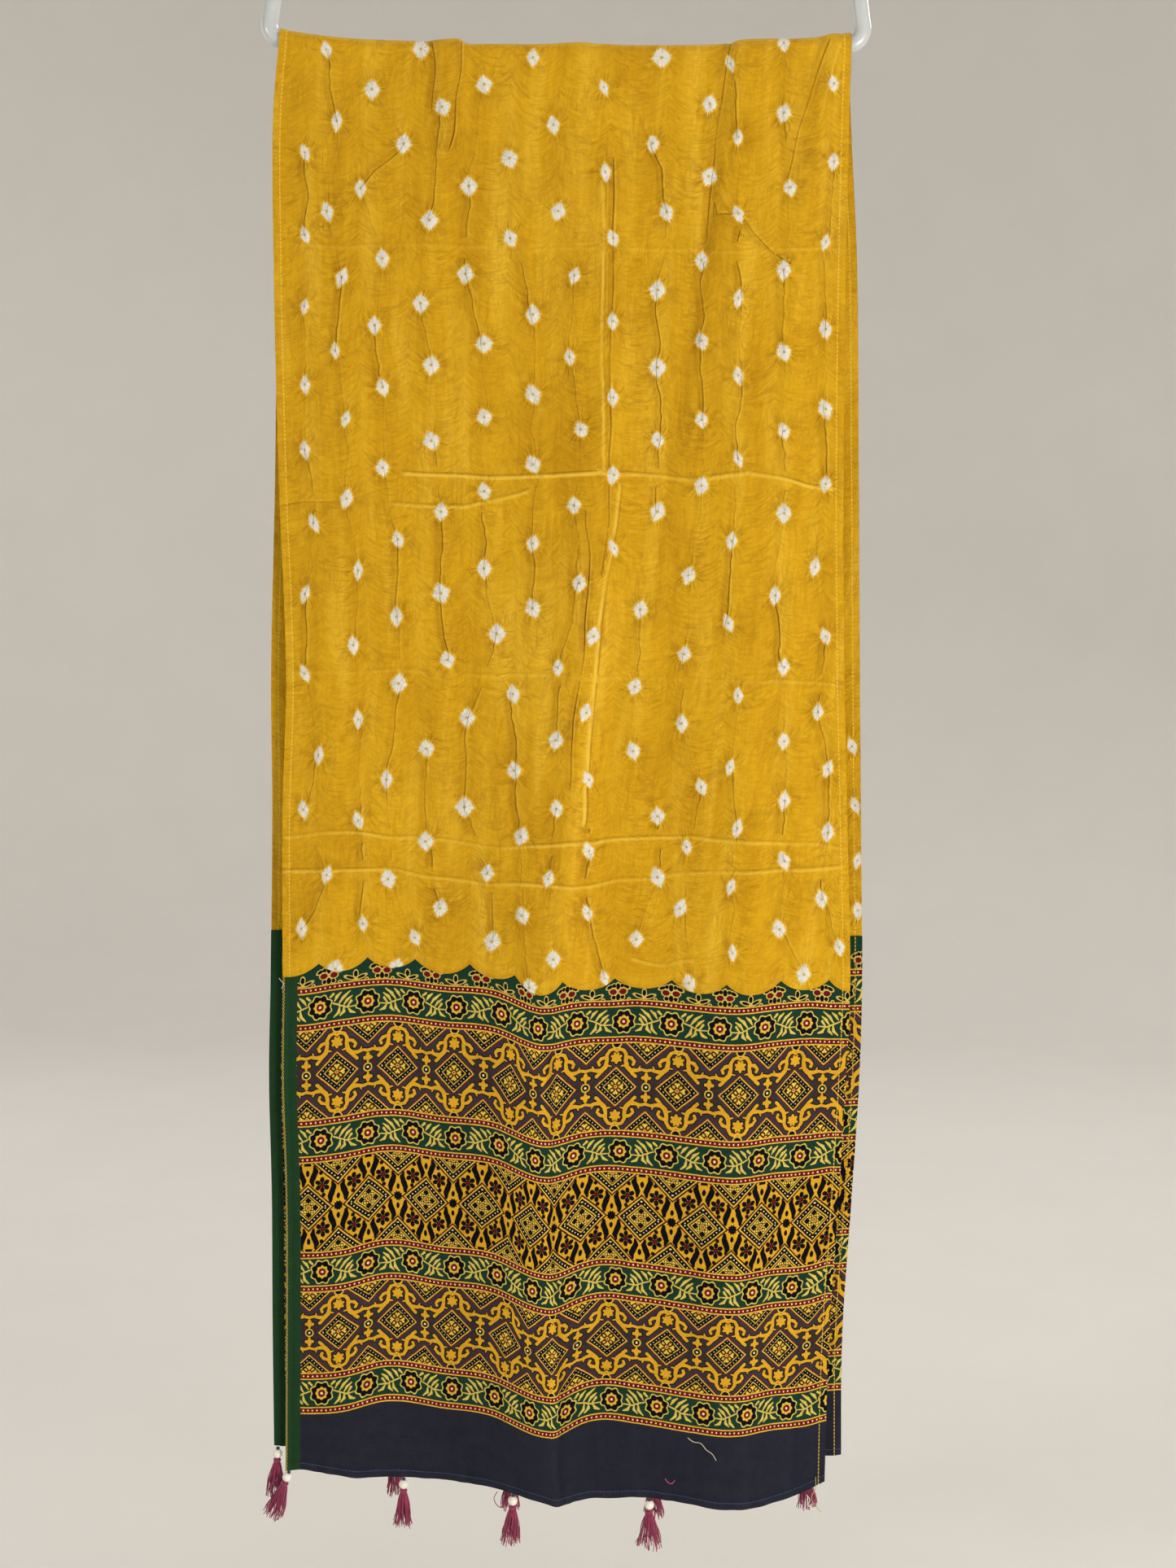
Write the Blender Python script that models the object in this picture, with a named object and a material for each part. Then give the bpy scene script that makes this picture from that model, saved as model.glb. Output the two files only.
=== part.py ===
"""A tie-dyed and printed cotton stole, hung over the bar of a plastic tube hanger.

Metres, +Z up, the front half of the stole faces -Y. The origin is the inner crown of the hook, where
a rail would carry it. Heights on the cloth are drops below the bar's ends.
"""

import math
from bisect import bisect_right
from collections import namedtuple

import bmesh
import bpy
from mathutils import Vector

# Hanger: a round tube all the way, with a slightly thinner hook
HANGER_WIDTH = 0.449
TUBE_RADIUS = 0.00615
TUBE_SIDES = 12
BAR_Z = -0.215
BAR_SAG = 0.009
BAR_STEPS = 14
CORNER_BEND = 0.011
CORNER_OUT = 0.0019
SHOULDER_END_X = 0.2105
SHOULDER_END_RISE = 0.066
SHOULDER_BEND = 0.060
APEX_RISE = 0.150
APEX_BEND = 0.030
BEND_STEPS = 6
HOOK_TUBE_RADIUS = 0.0050
HOOK_INNER_RADIUS = 0.019
HOOK_FROM = math.radians(-50)
HOOK_TO = math.radians(205)
HOOK_STEPS = 18
STEM_FOOT_RISE = 0.143
STEM_STRAIGHT_RISE = 0.158
STEM_STEPS = 6
STEEPEST_TILT = 0.5

# Cloth: thickness of each layer, and what keeps the layers and the bar apart
CLOTH_THICKNESS = 0.0012
LAYER_GAP = 0.0003
TUCK_GAP = 0.0007
PROBE_SHARE = 0.005
PROBE_STEP = 0.002
BAR_CLEARANCE = 0.0005
HANG_OUT = 0.0045
HANG_SETTLE = 0.05
CORNER_FADE = 12

# Drops of the first dotted line, the middle of the print and the hem
SEAM_DROP = 0.7125
PRINT_DROP = 0.916
HEM_DROP = 1.096
BACK_RAISE = 0.020
SCALLOP_CUSP_RISE = 0.020
SCALLOP_DEPTH = 0.0085
SCALLOP_ROUNDNESS = 2.2
PANEL_TOP_RISE = 0.028

# Where the scallops of the yellow field meet, from left to right
FRONT_CUSPS = (-0.236, -0.183, -0.146, -0.110, -0.068, -0.034, 0.003,
               0.042, 0.085, 0.126, 0.168, 0.205, 0.236)
COLUMNS_A_SCALLOP = 3
EDGE_SHARE = 0.006
ROWS_FRONT = 12
ROWS_BACK = 9
ROWS_OVER_BAR = 8
ROWS_PANEL = 7
ROW_CROWDING = 1.15

# Side edges of the two halves, at drops down the cloth
Edge = namedtuple("Edge", "drop front_left front_right back_left back_right")
EDGES = [
    Edge(0.00, -0.2105, 0.2095, -0.2105, 0.2095),
    Edge(0.06, -0.2155, 0.2090, -0.2125, 0.2120),
    Edge(0.16, -0.2155, 0.2082, -0.2140, 0.2180),
    Edge(0.32, -0.2122, 0.2093, -0.2165, 0.2220),
    Edge(0.47, -0.2070, 0.2127, -0.2200, 0.2255),
    Edge(0.57, -0.2100, 0.2165, -0.2195, 0.2280),
    Edge(0.70, -0.2105, 0.2210, -0.2210, 0.2310),
    Edge(0.78, -0.2115, 0.2187, -0.2225, 0.2300),
    Edge(0.87, -0.2090, 0.2149, -0.2208, 0.2258),
    Edge(0.98, -0.2091, 0.2095, -0.2205, 0.2205),
    Edge(1.10, -0.2098, 0.2079, -0.2195, 0.2215),
]

# How far the cloth's crosswise lines hang below their level, at the seam, mid-print and hem
Wave = namedtuple("Wave", "x seam print hem")
FRONT_WAVES = [
    Wave(-0.210, -0.0045, -0.0040, -0.0130),
    Wave(-0.195, -0.0050, -0.0037, -0.0148),
    Wave(-0.165, -0.0100, -0.0070, -0.0113),
    Wave(-0.130, -0.0130, -0.0148, -0.0095),
    Wave(-0.090, -0.0092, -0.0113, -0.0100),
    Wave(-0.050, -0.0075, -0.0108, -0.0092),
    Wave(-0.016, 0.0040, 0.0005, -0.0035),
    Wave(0.007, 0.0025, 0.0025, 0.0025),
    Wave(0.035, 0.0033, -0.0005, 0.0067),
    Wave(0.060, 0.0019, 0.0018, 0.0055),
    Wave(0.095, 0.0038, 0.0050, 0.0060),
    Wave(0.135, 0.0052, 0.0070, 0.0100),
    Wave(0.165, 0.0030, 0.0045, 0.0080),
    Wave(0.190, 0.0020, 0.0040, 0.0010),
    Wave(0.208, 0.0033, -0.0010, -0.0078),
]
BACK_WAVES = [
    Wave(-0.220, -0.0030, -0.0060, -0.0100),
    Wave(-0.110, -0.0080, -0.0070, -0.0050),
    Wave(0.000, 0.0020, 0.0040, 0.0030),
    Wave(0.110, 0.0060, 0.0050, 0.0070),
    Wave(0.225, -0.0020, -0.0040, -0.0080),
]

# Folds as ridges: where each one runs, how far it stands out, and its reach to each side
Ridge = namedtuple("Ridge", "drop x out left right")
FRONT_FOLDS = {
    "middle fold": [
        Ridge(0.00, 0.030, 0.0010, 0.020, 0.008),
        Ridge(0.30, 0.030, 0.0060, 0.045, 0.012),
        Ridge(0.52, 0.008, 0.0150, 0.060, 0.015),
        Ridge(0.72, -0.004, 0.0240, 0.070, 0.020),
        Ridge(0.92, -0.006, 0.0320, 0.070, 0.020),
        Ridge(1.10, -0.003, 0.0300, 0.070, 0.020),
    ],
    "right fold": [
        Ridge(0.00, 0.160, 0.0020, 0.030, 0.030),
        Ridge(0.35, 0.145, 0.0080, 0.045, 0.035),
        Ridge(0.72, 0.135, 0.0140, 0.045, 0.040),
        Ridge(1.10, 0.130, 0.0140, 0.045, 0.040),
    ],
    "left roll": [
        Ridge(0.00, -0.165, 0.0000, 0.030, 0.030),
        Ridge(0.30, -0.165, 0.0040, 0.030, 0.035),
        Ridge(0.70, -0.175, 0.0030, 0.030, 0.030),
        Ridge(1.10, -0.165, 0.0060, 0.030, 0.030),
    ],
    "pleat on the bar": [
        Ridge(0.00, -0.079, 0.0050, 0.022, 0.005),
        Ridge(0.05, -0.078, 0.0035, 0.022, 0.006),
        Ridge(0.11, -0.075, 0.0000, 0.024, 0.008),
    ],
    "tuck on the bar": [
        Ridge(0.00, 0.127, 0.0045, 0.007, 0.024),
        Ridge(0.13, 0.113, 0.0040, 0.008, 0.026),
        Ridge(0.28, 0.096, 0.0030, 0.010, 0.030),
        Ridge(0.42, 0.082, 0.0000, 0.012, 0.034),
    ],
    "gather at the right end": [
        Ridge(0.00, 0.196, 0.0035, 0.007, 0.009),
        Ridge(0.10, 0.180, 0.0030, 0.009, 0.012),
        Ridge(0.25, 0.165, 0.0000, 0.012, 0.016),
    ],
}
BACK_FOLDS = {
    "left back fold": [
        Ridge(0.00, -0.120, 0.0020, 0.030, 0.020),
        Ridge(0.50, -0.125, 0.0100, 0.050, 0.035),
        Ridge(1.10, -0.135, 0.0140, 0.055, 0.040),
    ],
    "middle back fold": [
        Ridge(0.00, 0.010, 0.0035, 0.020, 0.010),
        Ridge(0.50, 0.020, 0.0110, 0.040, 0.035),
        Ridge(1.10, 0.025, 0.0170, 0.045, 0.040),
    ],
    "right back fold": [
        Ridge(0.00, 0.150, 0.0020, 0.020, 0.020),
        Ridge(0.50, 0.155, 0.0060, 0.035, 0.030),
        Ridge(1.10, 0.150, 0.0080, 0.040, 0.030),
    ],
}

# Tassels and beads, hung from the hem at x, leaning in degrees to the left
Tassel = namedtuple("Tassel", "name x lean flare")
FRONT_TASSELS = [
    Tassel("corner", -0.2070, 20.0, 1.25),
    Tassel("left", -0.1180, 1.0, 1.0),
    Tassel("middle", -0.0330, 3.0, 1.15),
    Tassel("right", 0.0720, 0.0, 1.7),
]
BACK_TASSELS = [
    Tassel("corner", -0.2165, 4.0, 1.1),
    Tassel("left", -0.1260, 0.0, 1.0),
    Tassel("middle", -0.0350, 2.0, 1.1),
    Tassel("right", 0.0760, -1.0, 1.2),
    Tassel("far_right", 0.1940, -3.0, 1.1),
]
BEAD_RADIUS = 0.0037
BEAD_BORE_RADIUS = 0.0012
BEAD_SIDES = 10
THREAD_RADIUS = 0.0008
KNOT_RADIUS = 0.0016
KNOT_HEIGHT = 0.0009
HEAD_RADIUS = 0.0026
HEAD_HEIGHT = 0.0040
HEAD_SIDES = 8
HEM_CLEARANCE = 0.0008
SKIRT_LENGTH = 0.0270
SKIRT_SPREAD = 0.0030
STRAND_GAP = 0.00018
STRAND_TIP_SCALE = 0.55


def remove_all_objects():
    """Start from an empty scene."""
    for old in list(bpy.data.objects):
        bpy.data.objects.remove(old, do_unlink=True)


def make_material(name, colour, roughness, coat=0.0):
    """Principled material with one colour."""
    material = bpy.data.materials.new(name)
    material.use_nodes = True
    shader = material.node_tree.nodes["Principled BSDF"]
    shader.inputs["Base Color"].default_value = (*colour, 1.0)
    shader.inputs["Roughness"].default_value = roughness
    shader.inputs["Metallic"].default_value = 0.0
    shader.inputs["Coat Weight"].default_value = coat
    return material


def add_object(name, mesh, material):
    """Put a mesh in the scene under its node's name."""
    mesh.materials.append(material)
    made = bpy.data.objects.new(name, mesh)
    bpy.context.scene.collection.objects.link(made)
    return made


def mesh_from(name, bm, smooth=True):
    """Finish a bmesh as mesh data with outward faces."""
    bmesh.ops.recalc_face_normals(bm, faces=bm.faces)
    mesh = bpy.data.meshes.new(name)
    bm.to_mesh(mesh)
    bm.free()
    if smooth:
        mesh.shade_smooth()
    return mesh


def smooth_value(rows, column, place):
    """One column of a table at any place, curving smoothly from row to row."""
    places = [row[0] for row in rows]
    values = [getattr(row, column) for row in rows]
    if place <= places[0]:
        return values[0]
    if place >= places[-1]:
        return values[-1]
    first = bisect_right(places, place) - 1

    def slope(index):
        before = max(index - 1, 0)
        after = min(index + 1, len(places) - 1)
        return (values[after] - values[before]) / (places[after] - places[before])

    step = places[first + 1] - places[first]
    t = (place - places[first]) / step
    return ((1 + 2 * t) * (1 - t) ** 2 * values[first]
            + t * (1 - t) ** 2 * step * slope(first)
            + t * t * (3 - 2 * t) * values[first + 1]
            - t * t * (1 - t) * step * slope(first + 1))


def corner_centre_x():
    """X of the centre of each lower corner's bend."""
    return HANGER_WIDTH / 2 - TUBE_RADIUS - CORNER_BEND


def bar_sag(x):
    """How far the bar's centre lies below its ends."""
    along = min(abs(x) / corner_centre_x(), 1.0)
    return BAR_SAG * (1 - along ** 4)


def bar_tilt_sine(x):
    """Sine of the tube's tilt, zero on the bar and growing into the corners."""
    return min(max(abs(x) - corner_centre_x(), 0.0) / CORNER_BEND, STEEPEST_TILT)


def bar_height(x):
    """Height of the bar's centre line over the level of its ends."""
    sine = bar_tilt_sine(x)
    return CORNER_BEND * (1 - math.sqrt(1 - sine * sine)) - bar_sag(x)


def fillet(before, corner, after, bend, steps):
    """Points of an arc that rounds one corner of a path in the XZ plane."""
    arm_in = (before - corner).normalized()
    arm_out = (after - corner).normalized()
    half_angle = arm_in.angle(arm_out) / 2
    reach = bend / math.tan(half_angle)
    centre = corner + (arm_in + arm_out).normalized() * (bend / math.sin(half_angle))
    start = corner + arm_in * reach - centre
    end = corner + arm_out * reach - centre
    turn = start.angle(end)
    points = []
    for step in range(steps + 1):
        t = step / steps
        mixed = start * math.sin(turn * (1 - t)) + end * math.sin(turn * t)
        points.append(centre + mixed / math.sin(turn))
    return points


def frame_path():
    """Closed centre line of the hanger's bar, corners, arms and shoulders."""
    corner_x = HANGER_WIDTH / 2 - TUBE_RADIUS + CORNER_OUT
    right_corner = Vector((corner_x, 0, 0))
    left_corner = Vector((-corner_x, 0, 0))
    right_shoulder = Vector((SHOULDER_END_X, 0, SHOULDER_END_RISE))
    left_shoulder = Vector((-SHOULDER_END_X, 0, SHOULDER_END_RISE))
    apex = Vector((0, 0, APEX_RISE))
    points = []
    for step in range(1, BAR_STEPS):
        x = corner_centre_x() * (2 * step / BAR_STEPS - 1)
        points.append(Vector((x, 0, -bar_sag(x))))
    points += fillet(left_corner, right_corner, right_shoulder, CORNER_BEND, BEND_STEPS)
    points += fillet(right_corner, right_shoulder, apex, SHOULDER_BEND, BEND_STEPS)
    points += fillet(right_shoulder, apex, left_shoulder, APEX_BEND, BEND_STEPS)
    points += fillet(apex, left_shoulder, left_corner, SHOULDER_BEND, BEND_STEPS)
    points += fillet(left_shoulder, left_corner, right_corner, CORNER_BEND, BEND_STEPS)
    return points


def hook_path():
    """Centre line of the stem and hook, as heights over the bar."""
    ring = HOOK_INNER_RADIUS + HOOK_TUBE_RADIUS
    centre = Vector((0, 0, -BAR_Z - HOOK_INNER_RADIUS))
    join = centre + ring * Vector((math.cos(HOOK_FROM), 0, math.sin(HOOK_FROM)))
    top_of_stem = Vector((0, 0, STEM_STRAIGHT_RISE))
    pull = (join - top_of_stem).length / 2.5
    handle_low = top_of_stem + Vector((0, 0, pull))
    handle_high = join - pull * Vector((-math.sin(HOOK_FROM), 0, math.cos(HOOK_FROM)))
    points = [Vector((0, 0, STEM_FOOT_RISE))]
    for step in range(STEM_STEPS):
        t = step / STEM_STEPS
        points.append((1 - t) ** 3 * top_of_stem + 3 * t * (1 - t) ** 2 * handle_low
                      + 3 * t * t * (1 - t) * handle_high + t ** 3 * join)
    for step in range(HOOK_STEPS + 1):
        angle = HOOK_FROM + (HOOK_TO - HOOK_FROM) * step / HOOK_STEPS
        points.append(centre + ring * Vector((math.cos(angle), 0, math.sin(angle))))
    return points


def sweep_tube(points, radius, sides, closed, round_tip=False):
    """Round tube along a path in the XZ plane."""
    bm = bmesh.new()
    count = len(points)
    rings = []
    for index, point in enumerate(points):
        before = points[index - 1] if closed else points[max(index - 1, 0)]
        after = points[(index + 1) % count] if closed else points[min(index + 1, count - 1)]
        along = (after - before).normalized()
        side = along.cross(Vector((0, 1, 0)))
        ring = []
        for corner in range(sides):
            angle = math.tau * (corner + 0.5) / sides
            out = Vector((0, math.cos(angle), 0)) + side * math.sin(angle)
            ring.append(bm.verts.new(point + radius * out))
        rings.append(ring)
    spans = count if closed else count - 1
    for index in range(spans):
        ring, following = rings[index], rings[(index + 1) % count]
        for corner in range(sides):
            after = (corner + 1) % sides
            bm.faces.new((ring[corner], ring[after], following[after], following[corner]))
    if not closed:
        bm.faces.new(rings[0])
        tip = bm.faces.new(rings[-1])
        if round_tip:
            along = (points[-1] - points[-2]).normalized()
            for grow, shrink in ((0.5, 0.87), (0.37, 0.55)):
                tip = bmesh.ops.extrude_discrete_faces(bm, faces=[tip])["faces"][0]
                centre = tip.calc_center_median()
                for vertex in tip.verts:
                    vertex.co = centre + (vertex.co - centre) * shrink + along * radius * grow
    return bm


def build_hanger(material):
    """The moulded hanger, one tube with its hook."""
    frame = sweep_tube(frame_path(), TUBE_RADIUS, TUBE_SIDES, closed=True)
    hanger = add_object("hanger", mesh_from("hanger", frame), material)
    hook = sweep_tube(hook_path(), HOOK_TUBE_RADIUS, TUBE_SIDES, closed=False, round_tip=True)
    guide = add_object("hook_guide", mesh_from("hook_guide", hook), material)
    guide.hide_render = True
    guide.display_type = "WIRE"
    for made in (hanger, guide):
        made.location.z = BAR_Z
    union = hanger.modifiers.new("hook joined", "BOOLEAN")
    union.operation = "UNION"
    union.solver = "EXACT"
    union.object = guide
    return hanger


def lowered(waves, x, drop):
    """How far a crosswise line hangs below its level, from the sagging bar to the hem."""
    seam = smooth_value(waves, "seam", x)
    middle = smooth_value(waves, "print", x)
    hem = smooth_value(waves, "hem", x)
    if drop < SEAM_DROP:
        t = drop / SEAM_DROP
        corner_lift = bar_rise(x) * (1 - t) ** CORNER_FADE
        return bar_sag(x) * (1 - t) - corner_lift + seam * t
    if drop < PRINT_DROP:
        t = (drop - SEAM_DROP) / (PRINT_DROP - SEAM_DROP)
        return seam * (1 - t) + middle * t
    t = (drop - PRINT_DROP) / (HEM_DROP - PRINT_DROP)
    return middle * (1 - t) + hem * t


def bar_rise(x):
    """How far the bar's centre line climbs into a corner."""
    return bar_height(x) + bar_sag(x)


def folds_out(folds, x, drop):
    """How far the folds stand out from the plain hanging sheet."""
    total = 0.0
    for ridge in folds.values():
        off = x - smooth_value(ridge, "x", drop)
        reach = smooth_value(ridge, "left" if off < 0 else "right", drop)
        height = max(smooth_value(ridge, "out", drop), 0.0)
        total += height * math.exp(-((off / reach) ** 2))
    return total


def wrap_radius(x):
    """Distance from the bar's centre to the middle of the cloth on it."""
    tube = TUBE_RADIUS / math.sqrt(1 - bar_tilt_sine(x) ** 2)
    half_step = math.pi / ROWS_OVER_BAR / 2
    return (tube + BAR_CLEARANCE + CLOTH_THICKNESS / 2) / math.cos(half_step)


def hanging_point(side, across, drop):
    """Middle of the cloth on the front or back half, by share of the width and drop."""
    left = smooth_value(EDGES, side + "_left", drop)
    right = smooth_value(EDGES, side + "_right", drop)
    x = left + (right - left) * across
    waves = FRONT_WAVES if side == "front" else BACK_WAVES
    folds = FRONT_FOLDS if side == "front" else BACK_FOLDS
    wrap = wrap_radius(x)
    out = HANG_OUT + (wrap - HANG_OUT) * math.exp(-drop / HANG_SETTLE)
    out += folds_out(folds, x, drop)
    z = BAR_Z - drop - lowered(waves, x, drop)
    return Vector((x, -out if side == "front" else out, z))


def over_bar_point(across, turn):
    """Middle of the cloth over the bar, with turn from 0 at the front to 1 at the back."""
    left = smooth_value(EDGES, "front_left", 0.0)
    right = smooth_value(EDGES, "front_right", 0.0)
    x = left + (right - left) * across
    front = folds_out(FRONT_FOLDS, x, 0.0)
    back = folds_out(BACK_FOLDS, x, 0.0)
    radius = wrap_radius(x) + front * (1 - turn) + back * turn
    angle = math.pi * turn
    z = BAR_Z + bar_height(x) + radius * math.sin(angle)
    return Vector((x, -radius * math.cos(angle), z))


def inner_point(side, across, drop, inset):
    """A point set in from the middle of the cloth, square to it."""
    here = hanging_point(side, across, drop)
    to_left = hanging_point(side, across - PROBE_SHARE, drop)
    to_right = hanging_point(side, across + PROBE_SHARE, drop)
    above = hanging_point(side, across, drop - PROBE_STEP)
    below = hanging_point(side, across, drop + PROBE_STEP)
    crosswise = to_right - to_left
    down = below - above
    square = crosswise.cross(down).normalized()
    if side == "back":
        square = -square
    return here + square * -inset


def across_shares():
    """Shares of the width where the grid's columns run, with one on each scallop's peak."""
    left = smooth_value(EDGES, "front_left", SEAM_DROP)
    right = smooth_value(EDGES, "front_right", SEAM_DROP)
    shares = [0.0]
    for start, end in zip(FRONT_CUSPS, FRONT_CUSPS[1:]):
        for step in range(COLUMNS_A_SCALLOP):
            x = start + (end - start) * step / COLUMNS_A_SCALLOP
            share = (x - left) / (right - left)
            if EDGE_SHARE < share < 1 - EDGE_SHARE:
                shares.append(share)
    return shares + [1.0]


def scallop_drop(x):
    """How far the yellow edge hangs below its peaks."""
    last = len(FRONT_CUSPS) - 2
    index = min(max(bisect_right(FRONT_CUSPS, x) - 1, 0), last)
    start, end = FRONT_CUSPS[index], FRONT_CUSPS[index + 1]
    off_middle = abs(2 * (x - start) / (end - start) - 1)
    return SCALLOP_DEPTH * (1 - min(off_middle, 1.0) ** SCALLOP_ROUNDNESS)


def field_end_drop(side, share):
    """Drop of the yellow field's scalloped end in one column, the same on both halves."""
    left = smooth_value(EDGES, "front_left", SEAM_DROP)
    right = smooth_value(EDGES, "front_right", SEAM_DROP)
    x = left + (right - left) * share
    end = SEAM_DROP - SCALLOP_CUSP_RISE + scallop_drop(x)
    return end if side == "front" else end - BACK_RAISE


def build_sheet(name, lines, material):
    """Sheet through a list of lines of points, thickened evenly to both sides."""
    bm = bmesh.new()
    grid = [[bm.verts.new(point) for point in line] for line in lines]
    for line, following in zip(grid, grid[1:]):
        for index in range(len(line) - 1):
            bm.faces.new((line[index], line[index + 1], following[index + 1], following[index]))
    made = add_object(name, mesh_from(name, bm), material)
    thicken = made.modifiers.new("cloth thickness", "SOLIDIFY")
    thicken.thickness = CLOTH_THICKNESS
    thicken.offset = 0.0
    thicken.use_even_offset = True
    return made


def build_field(material):
    """The yellow field, from its front scallops up over the bar and down to the back ones."""
    shares = across_shares()
    lines = []
    for row in range(ROWS_FRONT, 0, -1):
        part = (row / ROWS_FRONT) ** ROW_CROWDING
        lines.append([hanging_point("front", share, part * field_end_drop("front", share))
                      for share in shares])
    for row in range(ROWS_OVER_BAR + 1):
        lines.append([over_bar_point(share, row / ROWS_OVER_BAR) for share in shares])
    for row in range(1, ROWS_BACK + 1):
        part = (row / ROWS_BACK) ** ROW_CROWDING
        lines.append([hanging_point("back", share, part * field_end_drop("back", share))
                      for share in shares])
    return build_sheet("bandhani_field", lines, material)


def build_panel(side, material):
    """One printed end, its top edge tucked behind the yellow scallops."""
    raise_by = 0.0 if side == "front" else BACK_RAISE
    top = SEAM_DROP - PANEL_TOP_RISE - raise_by
    bottom = HEM_DROP - raise_by
    inset = CLOTH_THICKNESS + TUCK_GAP
    lines = []
    for row in range(ROWS_PANEL + 1):
        drop = top + (bottom - top) * row / ROWS_PANEL
        lines.append([inner_point(side, share, drop, inset) for share in across_shares()])
    return build_sheet("print_panel_" + side, lines, material)


def revolve(profile, sides, closed):
    """Turned shape from a list of (radius, height) points round the Z axis."""
    bm = bmesh.new()
    rings = []
    for radius, height in profile:
        ring = []
        for corner in range(sides):
            angle = math.tau * corner / sides
            ring.append(bm.verts.new((radius * math.cos(angle), radius * math.sin(angle), height)))
        rings.append(ring)
    pairs = list(zip(rings, rings[1:]))
    if closed:
        pairs.append((rings[-1], rings[0]))
    for ring, following in pairs:
        for corner in range(sides):
            after = (corner + 1) % sides
            bm.faces.new((ring[corner], ring[after], following[after], following[corner]))
    return bm, rings


def bead_drop():
    """Depth of a bead's centre below the top of its tassel's knot."""
    return KNOT_HEIGHT + LAYER_GAP + bead_half_height()


def bead_half_height():
    """Half of a bead's height, a ball cut by its bore."""
    return math.sqrt(BEAD_RADIUS ** 2 - BEAD_BORE_RADIUS ** 2)


def bead_mesh():
    """Turned bead with a bore, centred on its own origin."""
    half = bead_half_height()
    profile = [(BEAD_BORE_RADIUS, half)]
    for degrees in (50, 18, -18, -50):
        angle = math.radians(degrees)
        profile.append((BEAD_RADIUS * math.cos(angle), BEAD_RADIUS * math.sin(angle)))
    profile.append((BEAD_BORE_RADIUS, -half))
    bm, _ = revolve(profile, BEAD_SIDES, closed=True)
    return mesh_from("bead", bm)


def tassel_mesh(name, flare):
    """Knot, thread, head and a skirt of separate strands, hanging from the origin."""
    neck_end = -(bead_drop() + bead_half_height() + LAYER_GAP)
    head_end = neck_end - HEAD_HEIGHT
    profile = [
        (KNOT_RADIUS * 0.7, 0.0),
        (KNOT_RADIUS, -KNOT_HEIGHT * 0.5),
        (THREAD_RADIUS, -KNOT_HEIGHT),
        (THREAD_RADIUS, neck_end),
        (HEAD_RADIUS * 0.8, neck_end - HEAD_HEIGHT * 0.12),
        (HEAD_RADIUS, neck_end - HEAD_HEIGHT * 0.45),
        (HEAD_RADIUS * 0.92, head_end),
        (HEAD_RADIUS * 0.45, head_end),
    ]
    bm, rings = revolve(profile, HEAD_SIDES, closed=False)
    bm.faces.new(rings[0])
    centre = bm.verts.new((0, 0, head_end))
    inner = rings[-1]
    roots = [face for face in bm.faces if all(vertex.co.z < head_end + 1e-6 for vertex in face.verts)]
    for corner in range(0, HEAD_SIDES, 2):
        after = (corner + 2) % HEAD_SIDES
        roots.append(bm.faces.new((centre, inner[corner], inner[corner + 1], inner[after])))
    bmesh.ops.recalc_face_normals(bm, faces=bm.faces)
    bmesh.ops.inset_individual(bm, faces=roots, thickness=STRAND_GAP)
    spread = SKIRT_SPREAD * flare / HEAD_RADIUS
    for share_of_length, share_of_spread in ((0.3, 0.65), (0.7, 0.35)):
        roots = bmesh.ops.extrude_discrete_faces(bm, faces=roots)["faces"]
        for index, root in enumerate(roots):
            middle = root.calc_center_median()
            uneven = 1 - 0.08 * (index % 3)
            down = SKIRT_LENGTH * share_of_length * uneven
            outward = Vector((middle.x, middle.y, 0)) * spread * share_of_spread
            for vertex in root.verts:
                slimmed = middle + (vertex.co - middle) * math.sqrt(STRAND_TIP_SCALE)
                vertex.co = slimmed + outward - Vector((0, 0, down))
    return mesh_from(name, bm, smooth=False)


def build_tassels(side, tassels, thread_material, bead_material):
    """The tassels of one hem, each with its bead on the thread."""
    left = smooth_value(EDGES, side + "_left", HEM_DROP)
    right = smooth_value(EDGES, side + "_right", HEM_DROP)
    drop = HEM_DROP if side == "front" else HEM_DROP - BACK_RAISE
    inset = CLOTH_THICKNESS + TUCK_GAP
    for row in tassels:
        hem = inner_point(side, (row.x - left) / (right - left), drop, inset)
        name = f"tassel_{side}_{row.name}"
        tassel = add_object(name, tassel_mesh(name, row.flare), thread_material)
        tassel.location = hem - Vector((0, 0, HEM_CLEARANCE))
        tassel.rotation_euler.y = math.radians(row.lean)
        bead = add_object(f"bead_{side}_{row.name}", bead_mesh(), bead_material)
        bead.parent = tassel
        bead.location.z = -bead_drop()


def main():
    """Build the whole part."""
    remove_all_objects()
    plastic = make_material("hanger plastic", (0.58, 0.61, 0.61), 0.25, coat=0.5)
    yellow = make_material("mustard cotton", (0.61, 0.35, 0.02), 0.85)
    printed = make_material("printed cotton", (0.05, 0.07, 0.05), 0.85)
    thread = make_material("tassel thread", (0.22, 0.012, 0.06), 0.7)
    ivory = make_material("ivory bead", (0.82, 0.79, 0.62), 0.3, coat=0.4)
    build_hanger(plastic)
    build_field(yellow)
    build_panel("front", printed)
    build_panel("back", printed)
    build_tassels("front", FRONT_TASSELS, thread, ivory)
    build_tassels("back", BACK_TASSELS, thread, ivory)


main()
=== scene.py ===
"""Looks of the tie-dyed stole on its plastic hanger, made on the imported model's frame.

Metres, +Z up, the front half of the stole faces -Y. Tables with photo places are in pixels of the
1445 x 1927 photograph, and turn into places on the cloth through the camera below.
"""

import math
from collections import namedtuple

import bmesh
import bpy
import numpy as np
from mathutils import Matrix, Vector


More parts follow.
